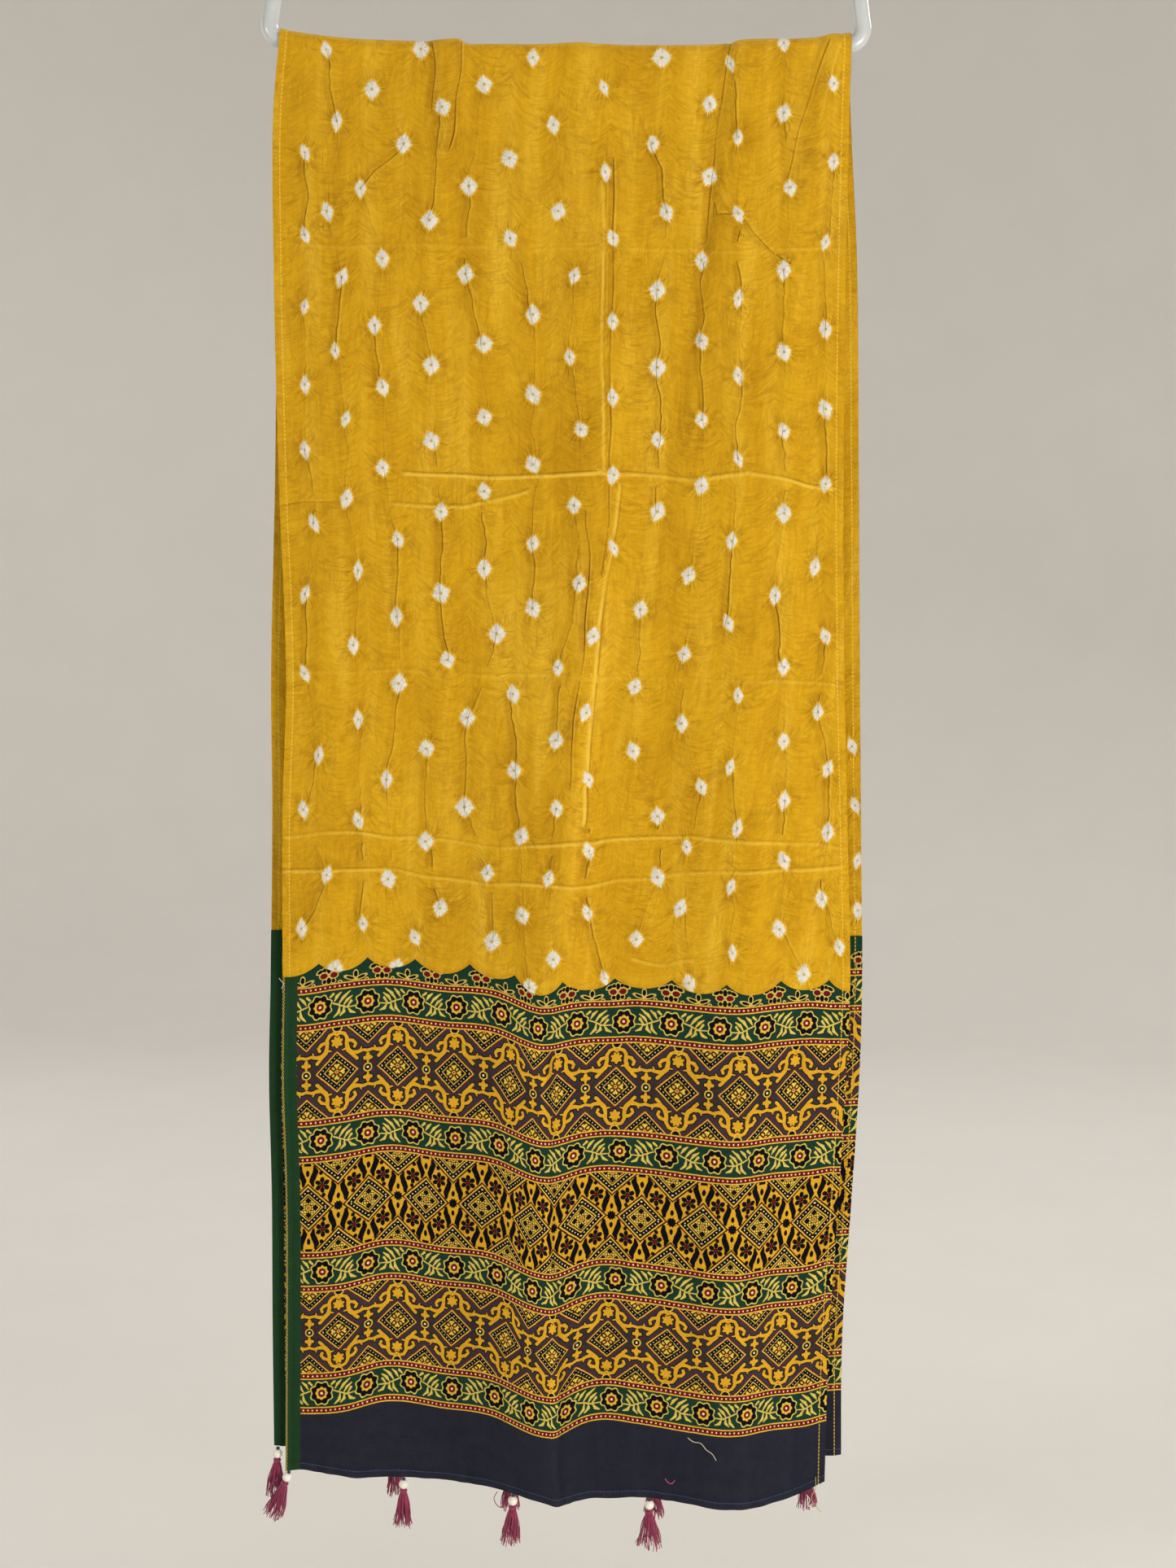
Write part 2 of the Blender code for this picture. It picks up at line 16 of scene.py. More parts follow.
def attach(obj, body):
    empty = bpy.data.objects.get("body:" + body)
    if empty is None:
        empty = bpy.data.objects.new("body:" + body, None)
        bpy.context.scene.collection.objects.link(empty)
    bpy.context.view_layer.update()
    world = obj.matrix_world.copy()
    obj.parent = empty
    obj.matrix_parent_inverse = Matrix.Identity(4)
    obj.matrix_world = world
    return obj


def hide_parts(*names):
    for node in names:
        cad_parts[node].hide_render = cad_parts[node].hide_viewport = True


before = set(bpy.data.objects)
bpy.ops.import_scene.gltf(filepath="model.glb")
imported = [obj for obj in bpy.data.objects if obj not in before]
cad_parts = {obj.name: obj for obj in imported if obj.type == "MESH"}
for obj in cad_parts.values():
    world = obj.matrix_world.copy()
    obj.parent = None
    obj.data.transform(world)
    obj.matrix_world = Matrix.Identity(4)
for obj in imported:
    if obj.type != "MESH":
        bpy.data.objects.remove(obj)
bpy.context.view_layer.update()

# Camera: a long lens at the height of the cloth's middle, tipped a little down and to the side
PHOTO_WIDTH = 1445
PHOTO_HEIGHT = 1927
FOCAL_PIXELS = 2500
SENSOR = 36.0
CAMERA_PLACE = (0.0204, -1.5358866, -0.65046)
CAMERA_DOWN = math.asin(0.073)
CAMERA_ROLL = math.radians(0.45)

# Hanger
HANGER_WIDTH = 0.449
TUBE_RADIUS = 0.00615
BAR_Z = -0.215
BAR_SAG = 0.009
CORNER_BEND = 0.011
CORNER_OUT = 0.0019
SHOULDER_END_X = 0.2105
SHOULDER_END_RISE = 0.066
SHOULDER_BEND = 0.060
APEX_RISE = 0.150
APEX_BEND = 0.030
HOOK_TUBE_RADIUS = 0.0050
HOOK_INNER_RADIUS = 0.019
HOOK_FROM = math.radians(-50)
HOOK_TO = math.radians(205)
STEM_FOOT_RISE = 0.1485
STEM_STRAIGHT_RISE = 0.158
STEEPEST_TILT = 0.5
TUBE_SIDES = 28
BAR_STEPS = 36
BEND_STEPS = 14
HOOK_STEPS = 44
STEM_STEPS = 10

# Cloth: the middle of the solid sheets, where the thin ones here lie
CLOTH_THICKNESS = 0.0012
TUCK_GAP = 0.0007
BAR_CLEARANCE = 0.0005
SOLID_ROWS_OVER_BAR = 8
HANG_OUT = 0.0045
HANG_SETTLE = 0.05
CORNER_FADE = 12
SEAM_DROP = 0.7125
PRINT_DROP = 0.916
HEM_DROP = 1.096
BACK_RAISE = 0.020
SCALLOP_CUSP_RISE = 0.020
SCALLOP_DEPTH = 0.0085
SCALLOP_ROUNDNESS = 2.2
PANEL_TOP_RISE = 0.028
FRONT_CUSPS = (-0.236, -0.183, -0.146, -0.110, -0.068, -0.034, 0.003,
               0.042, 0.085, 0.126, 0.168, 0.205, 0.236)

Edge = namedtuple("Edge", "drop front_left front_right back_left back_right")
EDGES = [
    Edge(0.00, -0.2105, 0.2095, -0.2105, 0.2095),
    Edge(0.06, -0.2155, 0.2090, -0.2125, 0.2120),
    Edge(0.16, -0.2155, 0.2082, -0.2140, 0.2180),
    Edge(0.32, -0.2122, 0.2093, -0.2165, 0.2220),
    Edge(0.47, -0.2070, 0.2127, -0.2200, 0.2255),
    Edge(0.57, -0.2100, 0.2165, -0.2195, 0.2280),
    Edge(0.70, -0.2105, 0.2210, -0.2210, 0.2310),
    Edge(0.78, -0.2115, 0.2187, -0.2225, 0.2300),
    Edge(0.87, -0.2090, 0.2149, -0.2208, 0.2258),
    Edge(0.98, -0.2091, 0.2095, -0.2205, 0.2205),
    Edge(1.10, -0.2098, 0.2079, -0.2195, 0.2215),
]

Wave = namedtuple("Wave", "x seam print hem")
FRONT_WAVES = [
    Wave(-0.210, -0.0045, -0.0040, -0.0130),
    Wave(-0.195, -0.0050, -0.0037, -0.0148),
    Wave(-0.165, -0.0100, -0.0070, -0.0113),
    Wave(-0.130, -0.0130, -0.0148, -0.0095),
    Wave(-0.090, -0.0092, -0.0113, -0.0100),
    Wave(-0.050, -0.0075, -0.0108, -0.0092),
    Wave(-0.016, 0.0040, 0.0005, -0.0035),
    Wave(0.007, 0.0025, 0.0025, 0.0025),
    Wave(0.035, 0.0033, -0.0005, 0.0067),
    Wave(0.060, 0.0019, 0.0018, 0.0055),
    Wave(0.095, 0.0038, 0.0050, 0.0060),
    Wave(0.135, 0.0052, 0.0070, 0.0100),
    Wave(0.165, 0.0030, 0.0045, 0.0080),
    Wave(0.190, 0.0020, 0.0040, 0.0010),
    Wave(0.208, 0.0033, -0.0010, -0.0078),
]
BACK_WAVES = [
    Wave(-0.220, -0.0030, -0.0060, -0.0100),
    Wave(-0.110, -0.0080, -0.0070, -0.0050),
    Wave(0.000, 0.0020, 0.0040, 0.0030),
    Wave(0.110, 0.0060, 0.0050, 0.0070),
    Wave(0.225, -0.0020, -0.0040, -0.0080),
]

Ridge = namedtuple("Ridge", "drop x out left right")
FRONT_FOLDS = {
    "middle fold": [
        Ridge(0.00, 0.030, 0.0010, 0.020, 0.008),
        Ridge(0.30, 0.030, 0.0060, 0.045, 0.012),
        Ridge(0.52, 0.008, 0.0150, 0.060, 0.015),
        Ridge(0.72, -0.004, 0.0240, 0.070, 0.020),
        Ridge(0.92, -0.006, 0.0320, 0.070, 0.020),
        Ridge(1.10, -0.003, 0.0300, 0.070, 0.020),
    ],
    "right fold": [
        Ridge(0.00, 0.160, 0.0020, 0.030, 0.030),
        Ridge(0.35, 0.145, 0.0080, 0.045, 0.035),
        Ridge(0.72, 0.135, 0.0140, 0.045, 0.040),
        Ridge(1.10, 0.130, 0.0140, 0.045, 0.040),
    ],
    "left roll": [
        Ridge(0.00, -0.165, 0.0000, 0.030, 0.030),
        Ridge(0.30, -0.165, 0.0040, 0.030, 0.035),
        Ridge(0.70, -0.175, 0.0030, 0.030, 0.030),
        Ridge(1.10, -0.165, 0.0060, 0.030, 0.030),
    ],
    "pleat on the bar": [
        Ridge(0.00, -0.079, 0.0050, 0.022, 0.005),
        Ridge(0.05, -0.078, 0.0035, 0.022, 0.006),
        Ridge(0.11, -0.075, 0.0000, 0.024, 0.008),
    ],
    "tuck on the bar": [
        Ridge(0.00, 0.127, 0.0045, 0.007, 0.024),
        Ridge(0.13, 0.113, 0.0040, 0.008, 0.026),
        Ridge(0.28, 0.096, 0.0030, 0.010, 0.030),
        Ridge(0.42, 0.082, 0.0000, 0.012, 0.034),
    ],
    "gather at the right end": [
        Ridge(0.00, 0.196, 0.0035, 0.007, 0.009),
        Ridge(0.10, 0.180, 0.0030, 0.009, 0.012),
        Ridge(0.25, 0.165, 0.0000, 0.012, 0.016),
    ],
}
BACK_FOLDS = {
    "left back fold": [
        Ridge(0.00, -0.120, 0.0020, 0.030, 0.020),
        Ridge(0.50, -0.125, 0.0100, 0.050, 0.035),
        Ridge(1.10, -0.135, 0.0140, 0.055, 0.040),
    ],
    "middle back fold": [
        Ridge(0.00, 0.010, 0.0035, 0.020, 0.010),
        Ridge(0.50, 0.020, 0.0110, 0.040, 0.035),
        Ridge(1.10, 0.025, 0.0170, 0.045, 0.040),
    ],
    "right back fold": [
        Ridge(0.00, 0.150, 0.0020, 0.020, 0.020),
        Ridge(0.50, 0.155, 0.0060, 0.035, 0.030),
        Ridge(1.10, 0.150, 0.0080, 0.040, 0.030),
    ],
}

# Dyed dots, column by column from the left, as (x, y) photo places from the bar down
DOT_COLUMNS = [
    [(375, 188), (375, 289), (375, 377), (375, 473), (375, 553), (386, 643), (375, 730), (375, 828),
     (392, 928), (373, 995), (402, 1075), (371, 1141)],
    [(401, 61), (414, 149), (402, 260), (420, 341), (412, 431), (425, 515), (426, 613), (440, 701),
     (434, 793), (440, 884), (440, 1008), (446, 1135)],
    [(457, 110), (496, 177), (443, 232), (470, 318), (460, 400), (470, 476), (470, 575), (489, 663),
     (487, 758), (490, 840), (475, 958), (477, 1080), (510, 1152)],
    [(517, 60), (544, 132), (528, 271), (517, 373), (530, 449), (530, 542), (542, 629), (542, 729),
     (550, 811), (524, 920), (523, 1034), (541, 1116)],
    [(595, 104), (576, 229), (572, 337), (595, 423), (595, 513), (595, 604), (595, 699), (611, 779),
     (574, 882), (571, 992), (599, 1073), (605, 1157)],
    [(655, 71), (626, 195), (627, 293), (655, 387), (655, 485), (655, 571), (655, 668), (655, 748),
     (631, 853), (632, 947), (641, 1028), (642, 1125), (650, 1214)],
    [(680, 154), (686, 260), (706, 339), (700, 439), (714, 528), (705, 621), (712, 717), (686, 821),
     (683, 910), (684, 994), (674, 1080), (680, 1179)],
    [(742, 108), (744, 212), (753, 293), (753, 395), (753, 489), (753, 584), (753, 674), (728, 782),
     (719, 876), (721, 958), (723, 1046), (721, 1122), (743, 1202)],
    [(813, 71), (802, 177), (819, 261), (808, 357), (808, 452), (808, 541), (808, 629), (787, 749),
     (780, 844), (778, 923), (808, 1003), (808, 1078), (782, 1154)],
    [(872, 128), (871, 217), (862, 320), (862, 419), (862, 516), (862, 597), (846, 707), (841, 804),
     (838, 889), (862, 967), (844, 1041), (836, 1116), (847, 1208)],
    [(897, 78), (907, 169), (907, 263), (907, 367), (907, 462), (907, 564), (899, 665), (895, 766),
     (907, 855), (897, 943), (906, 1018), (898, 1090), (900, 1171)],
    [(963, 53), (963, 139), (971, 231), (963, 332), (963, 433), (963, 530), (963, 631), (952, 732),
     (963, 820), (963, 911), (963, 984), (963, 1058), (957, 1142), (987, 1197)],
    [(1024, 103), (1024, 199), (1014, 298), (1014, 405), (1014, 503), (1014, 595), (1001, 697),
     (1014, 782), (1005, 875), (1017, 945), (1017, 1023), (1009, 1105), (1031, 1164)],
    [(412, 1191)],
    [(487, 1189)],
]
DOT_WIDTHS = (0.62, 0.70, 0.85, 0.98, 1.0, 0.95, 0.88, 0.70, 1.0, 0.85, 0.68, 0.85, 0.75, 1.1, 1.1)
PEEKING_DOTS = [(1047, 917), (1051, 990), (1053.5, 1058), (1054, 1119)]

# Storage creases across the cloth and the pleats down it, as photo places, sharpness in pixels,
# height in millimetres and whether one side is a step
Crease = namedtuple("Crease", "points sharp height step")
CREASES = [
    Crease([(500, 582), (560, 586), (637, 589), (733, 583), (781, 584), (853, 589), (920, 582), (965, 592),
            (1021, 601)], 5, 1.6, 0.5),
    Crease([(345, 622), (375, 617), (430, 615), (462, 602)], 6, -0.5, -0.4),
    Crease([(488, 620), (530, 622), (570, 624), (610, 616), (647, 604)], 5, 0.8, 0.4),
    Crease([(352, 1028), (430, 1024), (520, 1032), (610, 1044), (700, 1036), (850, 1030), (1030, 1042)],
           6, 0.7, 0.5),
    Crease([(350, 1072), (480, 1070), (560, 1084), (700, 1092), (820, 1076), (1030, 1066)], 6, 0.65, -0.5),
    Crease([(905, 258), (925, 285), (950, 312), (968, 322)], 4, -1.3, -0.9),
    Crease([(876, 250), (880, 262), (905, 262)], 3, -0.8, -0.4),
    Crease([(741, 230), (740, 330), (739, 450), (741, 580)], 6, 0.8, 0.3),
    Crease([(753, 200), (752, 330), (750, 450), (749, 585)], 4, -1.4, -0.6),
    Crease([(750, 592), (746, 650), (740, 705)], 4, -1.6, -0.8),
    Crease([(721, 632), (724, 714), (718, 810), (706, 884), (699, 965)], 4, -2.2, -1.1),
    Crease([(758, 600), (750, 680), (737, 760), (728, 840), (722, 900), (714, 1010)], 6, 1.7, 0.4),
    Crease([(897, 52), (884, 140), (873, 240), (868, 290)], 5, -2.4, -1.5),
    Crease([(1017, 52), (1002, 100), (982, 160), (968, 220)], 5, -1.9, -1.2),
    Crease([(1032, 56), (1020, 100), (1004, 150)], 5, 0.35, 0.3),
    Crease([(780, 1180), (815, 1187), (850, 1183)], 4, 0.9, 0.4),
    Crease([(567, 56), (565, 90), (560, 130), (552, 180)], 4, -2.2, -1.5),
    Crease([(532, 55), (533, 90), (530, 130)], 4, -1.6, 1.2),
    Crease([(346, 300), (420, 306), (520, 300), (600, 306)], 7, 0.2, 0.1),
    Crease([(620, 310), (760, 305), (900, 312), (1030, 306)], 7, 0.25, 0.1),
    Crease([(350, 830), (500, 826), (640, 832), (800, 836), (1030, 842)], 7, 0.25, 0.2),
]

# Wide soft troughs and ridges of the field, with no sharp line along them
SOFT_FOLDS = [
    Crease([(650, 240), (659, 402), (671, 498), (680, 590), (686, 714)], 9, -0.9, -0.7),
    Crease([(868, 270), (853, 402), (834, 512), (815, 637), (796, 762)], 15, -1.7, -0.9),
    Crease([(895, 240), (900, 402), (905, 560)], 14, 1.0, 0.3),
    Crease([(957, 420), (953, 666), (947, 762)], 9, -0.7, -0.3),
    Crease([(440, 700), (446, 850), (452, 1010)], 14, -0.8, -0.4),
    Crease([(600, 760), (612, 900), (622, 1060)], 14, 0.9, 0.3),
    Crease([(880, 760), (884, 900), (876, 1080)], 13, -0.9, -0.4),
]

PRINT_CREASES = [
    Crease([(674, 1290), (680, 1480), (686, 1600), (690, 1720), (693, 1856)], 9, -1.6, -1.4),
    Crease([(722, 1350), (726, 1560), (732, 1700), (740, 1850)], 12, 0.7, 0.3),
    Crease([(772, 1400), (776, 1600), (780, 1850)], 12, 0.9, 0.5),
    Crease([(846, 1560), (850, 1700), (858, 1860)], 10, -0.6, -0.4),
    Crease([(905, 1450), (912, 1650), (920, 1860)], 12, 0.8, -0.3),
    Crease([(985, 1250), (984, 1500), (980, 1700), (975, 1840)], 8, -0.9, -0.6),
    Crease([(470, 1250), (476, 1500), (480, 1800)], 14, 0.5, 0.3),
    Crease([(560, 1270), (562, 1500), (570, 1810)], 14, -0.5, 0.3),
    Crease([(350, 1490), (440, 1480), (560, 1488), (700, 1500)], 6, 0.5, 0.2),
    Crease([(365, 1720), (500, 1716), (640, 1726)], 6, 0.4, -0.2),
]

# Flowers of the border, whose places set how the print runs along the folds
FLOWER_CENTRES = (-0.1818, -0.1454, -0.1108, -0.0780, -0.0434, -0.0156,
                  0.0153, 0.0492, 0.0851, 0.1215, 0.1567, 0.1888)
FLOWER_PITCH = 36.6
DIAMOND_PITCH = 47.6

# Bands of the print, as depths below the first dotted line in metres
BEAD_LINES = (0.0, 0.0282, 0.1015, 0.1295, 0.2035, 0.2300, 0.2985, 0.3255)
BEAD_LINE_HALF = 0.00285
BAND_KINDS = ("border", "slate", "border", "gold", "border", "slate", "border")
SLATE_HEIGHT = BEAD_LINES[2] - BEAD_LINES[1] - 2 * BEAD_LINE_HALF
GOLD_HEIGHT = BEAD_LINES[4] - BEAD_LINES[3] - 2 * BEAD_LINE_HALF
HEM_WAVER = 0.0008

# Loose threads on the front, as photo places, and how far each stands out
Loose = namedtuple("Loose", "name on points colour radius")
LOOSE_THREADS = [
    Loose("corner", "field", [(343, 1202), (345, 1205), (348, 1208), (348, 1211), (346, 1215)],
          (222, 216, 196), 0.00022),
    Loose("right_hem", "print", [(1002, 1815), (1002, 1829), (997, 1841), (1003, 1852), (1009, 1858)],
          (176, 170, 90), 0.00026),
    Loose("pink", "print", [(817, 1817), (821, 1822), (826, 1823), (829, 1819)], (196, 92, 120), 0.00032),
    Loose("cream", "print", [(845, 1767), (852, 1772), (861, 1774), (868, 1782), (875, 1787), (880, 1795)],
          (216, 204, 172), 0.00026),
    Loose("maroon", "print", [(611, 1833), (607, 1842), (612, 1851), (620, 1852), (626, 1845), (626, 1857)],
          (120, 24, 62), 0.00030),
    Loose("white", "print", [(991, 1837), (995, 1843), (993, 1850), (999, 1854), (1001, 1860)],
          (224, 220, 208), 0.00028),
]
THREAD_STEPS = 7

# Fineness of the thin sheets
COLUMN_STEP = 0.00184
FIELD_ROWS_FRONT = 335
FIELD_ROWS_OVER = 12
FIELD_ROWS_BACK = 136
PANEL_ROW_STEP = 0.0028

# Tassels, where each hangs, its lean in degrees and how wide its skirt is
Tassel = namedtuple("Tassel", "name x lean flare")
FRONT_TASSELS = [
    Tassel("corner", -0.2070, 20.0, 1.25),
    Tassel("left", -0.1180, 1.0, 1.0),
    Tassel("middle", -0.0330, 3.0, 1.15),
    Tassel("right", 0.0720, 0.0, 1.7),
]
BACK_TASSELS = [
    Tassel("corner", -0.2165, 4.0, 1.1),
    Tassel("left", -0.1260, 0.0, 1.0),
    Tassel("middle", -0.0350, 2.0, 1.1),
    Tassel("right", 0.0760, -1.0, 1.2),
    Tassel("far_right", 0.1940, -3.0, 1.1),
]
BEAD_RADIUS = 0.0037
BEAD_BORE_RADIUS = 0.0012
THREAD_RADIUS = 0.0008
KNOT_HEIGHT = 0.0009
LAYER_GAP = 0.0003
HEAD_RADIUS = 0.0029
HEAD_HEIGHT = 0.0040
HEM_CLEARANCE = 0.0008
SKIRT_LENGTH = 0.0270
SKIRT_SPREAD = 0.0038
STRANDS = 56
STRAND_RADIUS = 0.00046

SKIRT_SEED = 7
CRUMPLE_SEED = 11


def linear(red, green, blue):
    """Colour as seen on screen, 0 to 255, to the linear values that shaders take."""
    out = []
    for value in (red, green, blue):
        share = value / 255
        out.append(share / 12.92 if share <= 0.04045 else ((share + 0.055) / 1.055) ** 2.4)
    return (*out, 1.0)


# The surface of the cloth, the same as the solids'

def smooth_value(rows, column, place):
    """One column of a table at many places, curving smoothly from row to row."""
    places = np.array([row[0] for row in rows])
    values = np.array([getattr(row, column) for row in rows])
    last = len(rows) - 1
    before = np.maximum(np.arange(last + 1) - 1, 0)
    after = np.minimum(np.arange(last + 1) + 1, last)
    slopes = (values[after] - values[before]) / (places[after] - places[before])
    place = np.clip(place, places[0], places[-1])
    first = np.clip(np.searchsorted(places, place, side="right") - 1, 0, last - 1)
    step = places[first + 1] - places[first]
    t = (place - places[first]) / step
    return ((1 + 2 * t) * (1 - t) ** 2 * values[first]
            + t * (1 - t) ** 2 * step * slopes[first]
            + t * t * (3 - 2 * t) * values[first + 1]
            - t * t * (1 - t) * step * slopes[first + 1])


def corner_centre_x():
    """X of the centre of each lower corner's bend."""
    return HANGER_WIDTH / 2 - TUBE_RADIUS - CORNER_BEND


def bar_sag(x):
    """How far the bar's centre lies below its ends."""
    along = np.minimum(np.abs(x) / corner_centre_x(), 1.0)
    return BAR_SAG * (1 - along ** 4)


def bar_tilt_sine(x):
    """Sine of the tube's tilt, zero on the bar and growing into the corners."""
    return np.minimum(np.maximum(np.abs(x) - corner_centre_x(), 0.0) / CORNER_BEND, STEEPEST_TILT)


def bar_height(x):
    """Height of the bar's centre line over the level of its ends."""
    return CORNER_BEND * (1 - np.sqrt(1 - bar_tilt_sine(x) ** 2)) - bar_sag(x)


def lowered(waves, x, drop):
    """How far a crosswise line hangs below its level, from the sagging bar to the hem."""
    seam = smooth_value(waves, "seam", x)
    middle = smooth_value(waves, "print", x)
    hem = smooth_value(waves, "hem", x)
    t = drop / SEAM_DROP
    rise = (bar_height(x) + bar_sag(x)) * np.maximum(1 - t, 0) ** CORNER_FADE
    upper = bar_sag(x) * (1 - t) - rise + seam * t
    t = (drop - SEAM_DROP) / (PRINT_DROP - SEAM_DROP)
    printed = seam * (1 - t) + middle * t
    t = (drop - PRINT_DROP) / (HEM_DROP - PRINT_DROP)
    lower = middle * (1 - t) + hem * t
    return np.where(drop < SEAM_DROP, upper, np.where(drop < PRINT_DROP, printed, lower))


def folds_out(folds, x, drop):
    """How far the folds stand out from the plain hanging sheet."""
    total = np.zeros(np.broadcast(x, drop).shape)
    for ridge in folds.values():
        off = x - smooth_value(ridge, "x", drop)
        left = smooth_value(ridge, "left", drop)
        right = smooth_value(ridge, "right", drop)
        height = np.maximum(smooth_value(ridge, "out", drop), 0.0)
        total = total + height * np.exp(-((off / np.where(off < 0, left, right)) ** 2))
    return total


def wrap_radius(x):
    """Distance from the bar's centre to the middle of the cloth on it."""
    tube = TUBE_RADIUS / np.sqrt(1 - bar_tilt_sine(x) ** 2)
    half_step = math.pi / SOLID_ROWS_OVER_BAR / 2
    return (tube + BAR_CLEARANCE + CLOTH_THICKNESS / 2) / math.cos(half_step)


def hanging_points(side, across, drop):
    """Middle of the cloth on the front or back half, by share of the width and drop."""
    across, drop = np.broadcast_arrays(np.asarray(across, float), np.asarray(drop, float))
    left = smooth_value(EDGES, side + "_left", drop)
    right = smooth_value(EDGES, side + "_right", drop)
    x = left + (right - left) * across
    waves = FRONT_WAVES if side == "front" else BACK_WAVES
    folds = FRONT_FOLDS if side == "front" else BACK_FOLDS
    out = HANG_OUT + (wrap_radius(x) - HANG_OUT) * np.exp(-drop / HANG_SETTLE)
    out = out + folds_out(folds, x, drop)
    z = BAR_Z - drop - lowered(waves, x, drop)
    return np.stack([x, -out if side == "front" else out, z], axis=-1)


def over_bar_points(across, turn):
    """Middle of the cloth over the bar, with turn from 0 at the front to 1 at the back."""
    across, turn = np.broadcast_arrays(np.asarray(across, float), np.asarray(turn, float))
    left = smooth_value(EDGES, "front_left", 0.0)
    right = smooth_value(EDGES, "front_right", 0.0)
    x = left + (right - left) * across
    front = folds_out(FRONT_FOLDS, x, np.zeros_like(x))
    back = folds_out(BACK_FOLDS, x, np.zeros_like(x))
    radius = wrap_radius(x) + front * (1 - turn) + back * turn
    angle = math.pi * turn
    z = BAR_Z + bar_height(x) + radius * np.sin(angle)
    return np.stack([x, -radius * np.cos(angle), z], axis=-1)


def scallop_drop(x):
    """How far the yellow edge hangs below its peaks."""
    cusps = np.array(FRONT_CUSPS)
    index = np.clip(np.searchsorted(cusps, x, side="right") - 1, 0, len(cusps) - 2)
    start, end = cusps[index], cusps[index + 1]
    off_middle = np.minimum(np.abs(2 * (x - start) / (end - start) - 1), 1.0)
    return SCALLOP_DEPTH * (1 - off_middle ** SCALLOP_ROUNDNESS)


def field_end_drop(side, share):
    """Drop of the yellow field's scalloped end, the same on both halves."""
    left = smooth_value(EDGES, "front_left", SEAM_DROP)
    right = smooth_value(EDGES, "front_right", SEAM_DROP)
    end = SEAM_DROP - SCALLOP_CUSP_RISE + scallop_drop(left + (right - left) * share)
    return end if side == "front" else end - BACK_RAISE


def column_shares():
    """Shares of the width where the fine columns run, with one on each scallop's peak."""
    left = float(smooth_value(EDGES, "front_left", SEAM_DROP))
    right = float(smooth_value(EDGES, "front_right", SEAM_DROP))
    shares = [0.0]
    for start, end in zip(FRONT_CUSPS, FRONT_CUSPS[1:]):
        steps = round((end - start) / COLUMN_STEP)
        for step in range(steps):
            share = (start + (end - start) * step / steps - left) / (right - left)
            if 0.003 < share < 0.997:
                shares.append(share)
    if len(shares) % 2:
        shares.pop(1)
    return np.array(shares + [1.0])


def outward_normals(grid, rows_go_down=None):
    """Normals of a grid of points from left to right, pointing away from the cloth's inside.

    The field's rows climb the front, and a panel's go down, on the front or back half."""
    along = np.gradient(grid, axis=0)
    across = np.gradient(grid, axis=1)
    normals = np.cross(across, along)
    normals /= np.linalg.norm(normals, axis=-1, keepdims=True)
    return -normals if rows_go_down == "front" else normals


def photo_places(points):
    """Where points show in the photograph, in its pixels."""
    depth = points[..., 1] - CAMERA_PLACE[1]
    height = points[..., 2] - CAMERA_PLACE[2]
    sine, cosine = math.sin(CAMERA_DOWN), math.cos(CAMERA_DOWN)
    ahead = depth * cosine - height * sine
    up = depth * sine + height * cosine
    flat_x = FOCAL_PIXELS * (points[..., 0] - CAMERA_PLACE[0]) / ahead
    flat_y = -FOCAL_PIXELS * up / ahead
    roll_sine, roll_cosine = math.sin(CAMERA_ROLL), math.cos(CAMERA_ROLL)
    x = PHOTO_WIDTH / 2 + flat_x * roll_cosine - flat_y * roll_sine
    y = PHOTO_HEIGHT / 2 + flat_x * roll_sine + flat_y * roll_cosine
    return x, y, 1000 * ahead / FOCAL_PIXELS


# Relief of the cloth

def value_noise(u, v, seed):
    """Smooth seeded noise from -1 to 1."""
    table = np.random.default_rng(seed).random((61, 61)) * 2 - 1
    low_u, low_v = np.floor(u).astype(int), np.floor(v).astype(int)
    part_u, part_v = u - low_u, v - low_v
    part_u = part_u * part_u * (3 - 2 * part_u)
    part_v = part_v * part_v * (3 - 2 * part_v)
    near = table[low_u % 61, low_v % 61] * (1 - part_u) + table[(low_u + 1) % 61, low_v % 61] * part_u
    far = (table[low_u % 61, (low_v + 1) % 61] * (1 - part_u)
           + table[(low_u + 1) % 61, (low_v + 1) % 61] * part_u)
    return near * (1 - part_v) + far * part_v


def ridged(u, v, seed):
    """Noise with sharp crests, as in crumpled cloth."""
    return 1 - 2 * np.abs(value_noise(u, v, seed))


def crumple(u, v, seed=CRUMPLE_SEED):
    """Uneven crinkle over the cloth, in millimetres, from places in millimetres."""
    warp_u = u + 9 * value_noise(u / 31, v / 31, seed) + 3 * value_noise(u / 11, v / 11, seed + 1)
    warp_v = v + 9 * value_noise(u / 29, v / 33, seed + 2) + 3 * value_noise(u / 12, v / 10, seed + 3)
    broad = 0.55 * ridged(warp_u / 52, warp_v / 60, seed + 4)
    middle = 0.34 * ridged(warp_u / 21, warp_v / 26, seed + 5)
    across = 0.22 * ridged(warp_u / 40, warp_v / 10, seed + 6)
    down = 0.22 * ridged(warp_u / 9, warp_v / 36, seed + 7)
    fine = 0.12 * ridged(warp_u / 7, warp_v / 7, seed + 8)
    patch = 0.6 + 0.5 * value_noise(u / 70, v / 70, seed + 9)
    return broad + (middle + across + down + fine) * patch


def nearest_on_line(x, y, start, end):
    """Distance beside a line between two places, and the share along it."""
    run = np.array(end, float) - np.array(start, float)
    length = math.hypot(*run)
    along = ((x - start[0]) * run[0] + (y - start[1]) * run[1]) / length
    beside = ((x - start[0]) * run[1] - (y - start[1]) * run[0]) / length
    return beside, along, length


